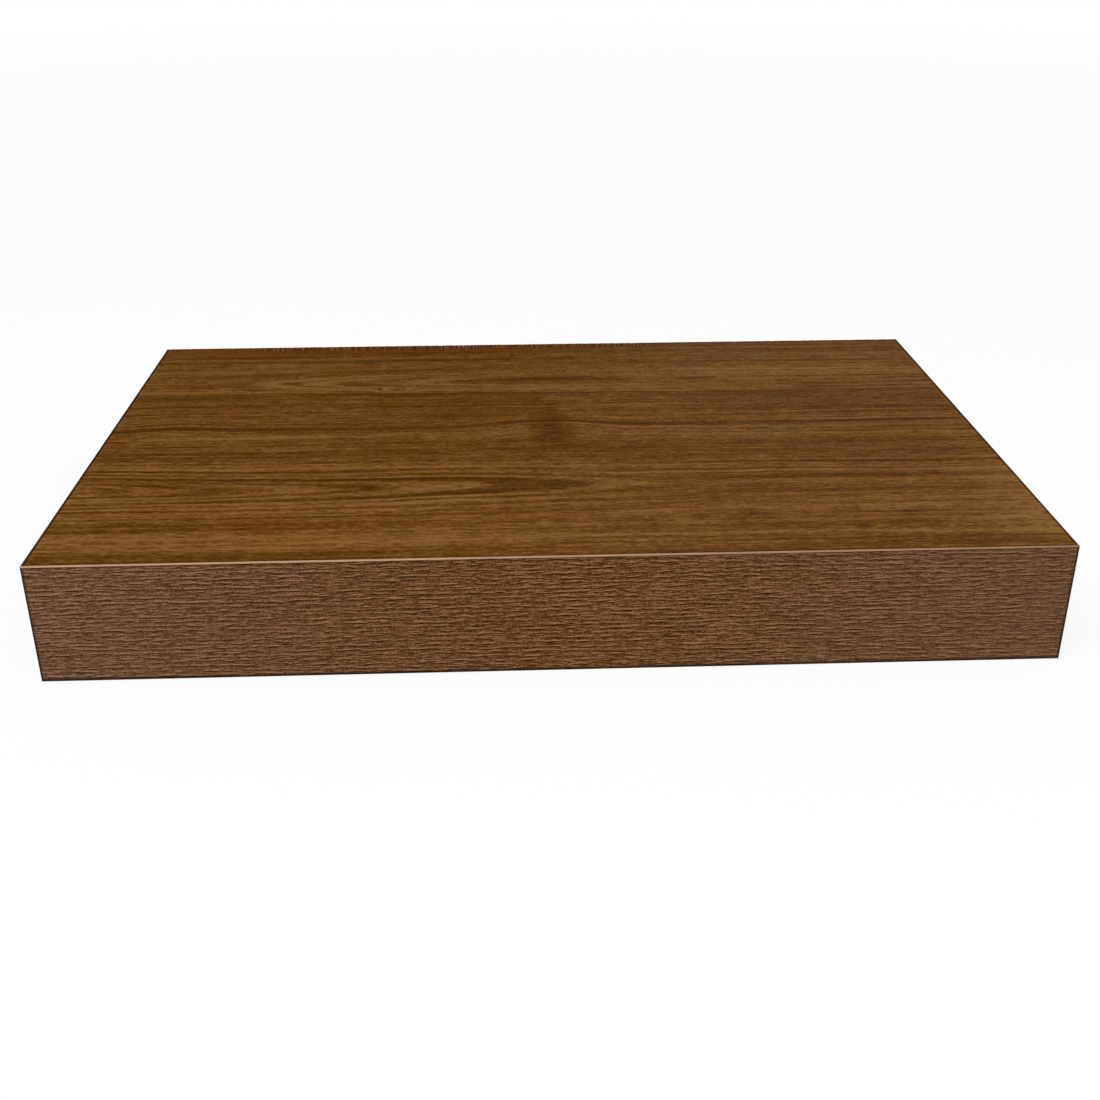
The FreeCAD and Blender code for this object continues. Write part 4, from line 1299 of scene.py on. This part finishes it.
class SHELF_OT_lock_screws(Undoable, bpy.types.Operator):
    """Black set screws with a cut thread, a hex socket and a cup point"""

    bl_idname = "shelf.lock_screws"
    bl_label = "Lock screws"

    def execute(self, context):
        sizes, colours = context.scene.shelf_sizes, context.scene.shelf_colours
        oxide = black_oxide(colours)
        count = 72
        turns = full_turn(count)
        socket = hexagon_radius(turns, SOCKET_FLATS)
        pitch = sizes.thread_pitch
        for side in ("left", "right"):
            low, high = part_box(side + "_lock_screw")
            centre = (low + high) / 2
            radius = (high.x - low.x) / 2
            profile = [
                (SCREW_TIP, low.z + SOCKET_DEPTH),
                (socket, low.z + SOCKET_DEPTH - SOCKET_CONE),
                (socket, low.z + SOCKET_LEAD),
                (SOCKET_MOUTH, low.z),
                (radius - SCREW_CHAMFER, low.z),
            ]
            first, last = low.z + 0.25 * SCREW_CHAMFER, high.z - 0.2 * SCREW_CHAMFER
            for z in np.arange(first, last, pitch / THREAD_STEPS):
                phase = ((z - low.z) / pitch - turns / (2 * math.pi)) % 1
                sunk = np.clip(1 - THREAD_SLOPE * np.abs(phase - 0.5), 0, 1)
                groove = THREAD_DEPTH * pitch * sunk
                ends = radius - SCREW_CHAMFER + min(z - low.z, high.z - z)
                profile.append((np.minimum(radius - groove, ends), z))
            profile += [(radius - CUP_RIM, high.z), (SCREW_TIP, high.z - CUP_DEPTH)]
            points, faces = joined_rings([turned_ring(r, z, Z, centre, count) for r, z in profile])
            name = side + "_screw_threaded"
            stand_in(side + "_lock_screw", new_mesh(name, points, faces, [oxide]))
        return {"FINISHED"}


# The photograph's view, with distances in metres and angles in degrees. It has 1100 pixels a side.
VIEW_PLACE = (-0.0214, -0.7140, 0.2533)
VIEW_YAW = 2.35
VIEW_PITCH = 26.39
VIEW_ROLL = -0.08
FOCAL_PIXELS = 1351
PICTURE_PIXELS = 1100
SENSOR = 36  # millimetres

# Softboxes: name, place in metres, width, height, and power in watts. All of them face the shelf.
SOFTBOXES = [
    ("key", (-0.5, -1.0, 1.7), 1.4, 1.0, 26),
    ("fill", (1.1, -1.2, 0.7), 1.0, 1.0, 5),
    ("rim", (0.65, 1.2, 0.65), 1.2, 0.8, 0.8),
]
SOFTBOX_TARGET = (0, -0.13, 0)
FLOOR_RADIUS = 8  # metres
FLOOR_GLOW = 0.85  # share of white light of its own in what the floor shows
FLOOR_FADE = (0.5, 2.5)  # metres from the shelf between which the floor turns to plain white
FLOOR_GAP = 0.1 * MM  # between the shelf and the floor
FILL_STRENGTH = 0.5  # the surroundings' light on the shelf, where 1 is white
BOUNCE_STRENGTH = 0.88  # the floor's light on the shelf
HORIZON = (-0.1, 0.1)  # heights of a direction between which the floor's light turns to the fill
CEILING_STRENGTH = 0.04  # the studio's dim ceiling, as gloss shows it
CEILING_RISE = (0.0, 0.04)  # heights of a ray's direction between which white turns to ceiling


def mirrored_rays(tree):
    """The light path node's camera output, and 1 for the rays from gloss and glass."""
    camera = add_node(tree, "LightPath", output="Is Camera Ray")
    gloss, glass = (camera.node.outputs[kind] for kind in ("Is Glossy Ray", "Is Transmission Ray"))
    return camera, add_node(tree, "Math", [gloss, glass], operation="MAXIMUM")


class SHELF_OT_stage(Undoable, bpy.types.Operator):
    """Pale floor, white surroundings, soft lights and the camera"""

    bl_idname = "shelf.stage"
    bl_label = "Studio"

    def execute(self, context):
        self.lay_floor(context.scene.shelf_colours.ground)
        self.light_world()
        self.hang_lights()
        self.place_camera()
        return {"FINISHED"}

    def lay_floor(self, paint):
        """A round floor under the shelf.

        It is part white light of its own, so it shows as pale as the backdrop and still keeps the
        shelf's shadow, and it turns to plain white away from the shelf. It shows from above alone, and
        light passes it, so that the shelf's underside is lit and seen from below.
        """
        material, tree = new_material("studio_floor")
        board = add_node(tree, "BsdfDiffuse", [paint])
        glow = add_node(tree, "Emission", [(1, 1, 1, 1), 1])
        place = add_node(tree, "TexCoord", output="Object")
        away = add_node(tree, "VectorMath", [place], "Value", operation="LENGTH")
        white = add_node(tree, "MapRange", [away, *FLOOR_FADE, FLOOR_GLOW, 1])
        shown = add_node(tree, "Math", mirrored_rays(tree), operation="MAXIMUM")
        share = add_node(tree, "Math", [shown, white], operation="MULTIPLY")
        upper = add_node(tree, "MixShader", [share, board, glow])
        under = add_node(tree, "NewGeometry", output="Backfacing")
        clear = add_node(tree, "BsdfTransparent")
        add_node(tree, "OutputMaterial", [add_node(tree, "MixShader", [under, upper, clear])])
        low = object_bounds()[0]
        ring = turned_ring(FLOOR_RADIUS, low.z - FLOOR_GAP, Z, (0, 0, 0), 64)
        mesh = bpy.data.meshes.new("studio_floor")
        mesh.from_pydata(ring.tolist(), [], [tuple(range(len(ring)))])
        mesh.materials.append(material)
        floor = new_object(mesh.name, mesh)
        floor.visible_diffuse = False
        floor.visible_shadow = False
        floor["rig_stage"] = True

    def light_world(self):
        """Even light from all round, which shows as plain white behind the shelf.

        From below it is the light that a pale floor sends back. Gloss and glass show the white backdrop
        too, up to where the studio's dim ceiling begins.
        """
        world = bpy.data.worlds.new("studio_world")
        world.use_nodes = True
        tree = world.node_tree
        tree.nodes.clear()
        camera, mirrored = mirrored_rays(tree)
        direction = add_node(tree, "TexCoord", output="Generated")
        height = add_node(tree, "SeparateXYZ", [direction], "Z")
        backdrop = add_node(tree, "MapRange", [height, *CEILING_RISE, 1, CEILING_STRENGTH])
        fill = add_node(tree, "MapRange", [height, *HORIZON, BOUNCE_STRENGTH, FILL_STRENGTH])
        strength = add_node(tree, "MapRange", [mirrored, 0, 1, fill, backdrop])
        strength = add_node(tree, "MapRange", [camera, 0, 1, strength, 1])
        add_node(tree, "OutputWorld", [add_node(tree, "Background", [(1, 1, 1, 1), strength])])
        bpy.context.scene.world = world

    def hang_lights(self):
        """Large soft lamps, so that the shelf's edges and relief read without hard shadows."""
        for name, place, width, height, power in SOFTBOXES:
            lamp = bpy.data.lights.new(name + "_softbox", "AREA")
            lamp.shape = "RECTANGLE"
            lamp.size = width
            lamp.size_y = height
            lamp.energy = power
            item = new_object(lamp.name, lamp)
            item.location = place
            away = Vector(place) - Vector(SOFTBOX_TARGET)
            item.rotation_euler = away.to_track_quat("Z", "Y").to_euler()

    def place_camera(self):
        """The camera, where the photograph was taken from."""
        camera = bpy.data.cameras.new("studio_camera")
        camera.sensor_width = SENSOR
        camera.lens = SENSOR * FOCAL_PIXELS / PICTURE_PIXELS
        item = new_object(camera.name, camera)
        yaw = Matrix.Rotation(-math.radians(VIEW_YAW), 4, "Z")
        pitch = Matrix.Rotation(QUARTER - math.radians(VIEW_PITCH), 4, "X")
        roll = Matrix.Rotation(math.radians(VIEW_ROLL), 4, "Z")
        item.matrix_world = Matrix.Translation(VIEW_PLACE) @ yaw @ pitch @ roll
        bpy.context.scene.camera = item


PIECE_OPERATORS = (
    SHELF_OT_foils,
    SHELF_OT_skins,
    SHELF_OT_bands,
    SHELF_OT_rails,
    SHELF_OT_back_rail,
    SHELF_OT_ribs,
    SHELF_OT_dowels,
    SHELF_OT_honeycombs,
    SHELF_OT_wall_plate,
    SHELF_OT_rods,
    SHELF_OT_lock_inserts,
    SHELF_OT_lock_screws,
    SHELF_OT_stage,
)


class SHELF_PT_pieces(bpy.types.Panel):
    """Lists the shelf's pieces, sizes and colours"""

    bl_idname = "SHELF_PT_pieces"
    bl_label = "Wall shelf"
    bl_space_type = "VIEW_3D"
    bl_region_type = "UI"
    bl_category = "Shelf"

    def draw(self, context):
        for operator in PIECE_OPERATORS:
            self.layout.operator(operator.bl_idname)
        for group in (context.scene.shelf_sizes, context.scene.shelf_colours):
            box = self.layout.box()
            for name in type(group).__annotations__:
                box.prop(group, name)


CLASSES = (ShelfSizes, ShelfColours, *PIECE_OPERATORS, SHELF_PT_pieces)


def register():
    for item in CLASSES:
        bpy.utils.register_class(item)
    bpy.types.Scene.shelf_sizes = PointerProperty(type=ShelfSizes)
    bpy.types.Scene.shelf_colours = PointerProperty(type=ShelfColours)


def unregister():
    del bpy.types.Scene.shelf_colours
    del bpy.types.Scene.shelf_sizes
    for item in reversed(CLASSES):
        bpy.utils.unregister_class(item)


def main():
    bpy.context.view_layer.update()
    register()
    bpy.context.scene.view_settings.view_transform = "Standard"
    for operator in PIECE_OPERATORS:
        group, name = operator.bl_idname.split(".")
        getattr(getattr(bpy.ops, group), name)()


if __name__ == "__main__":
    main()
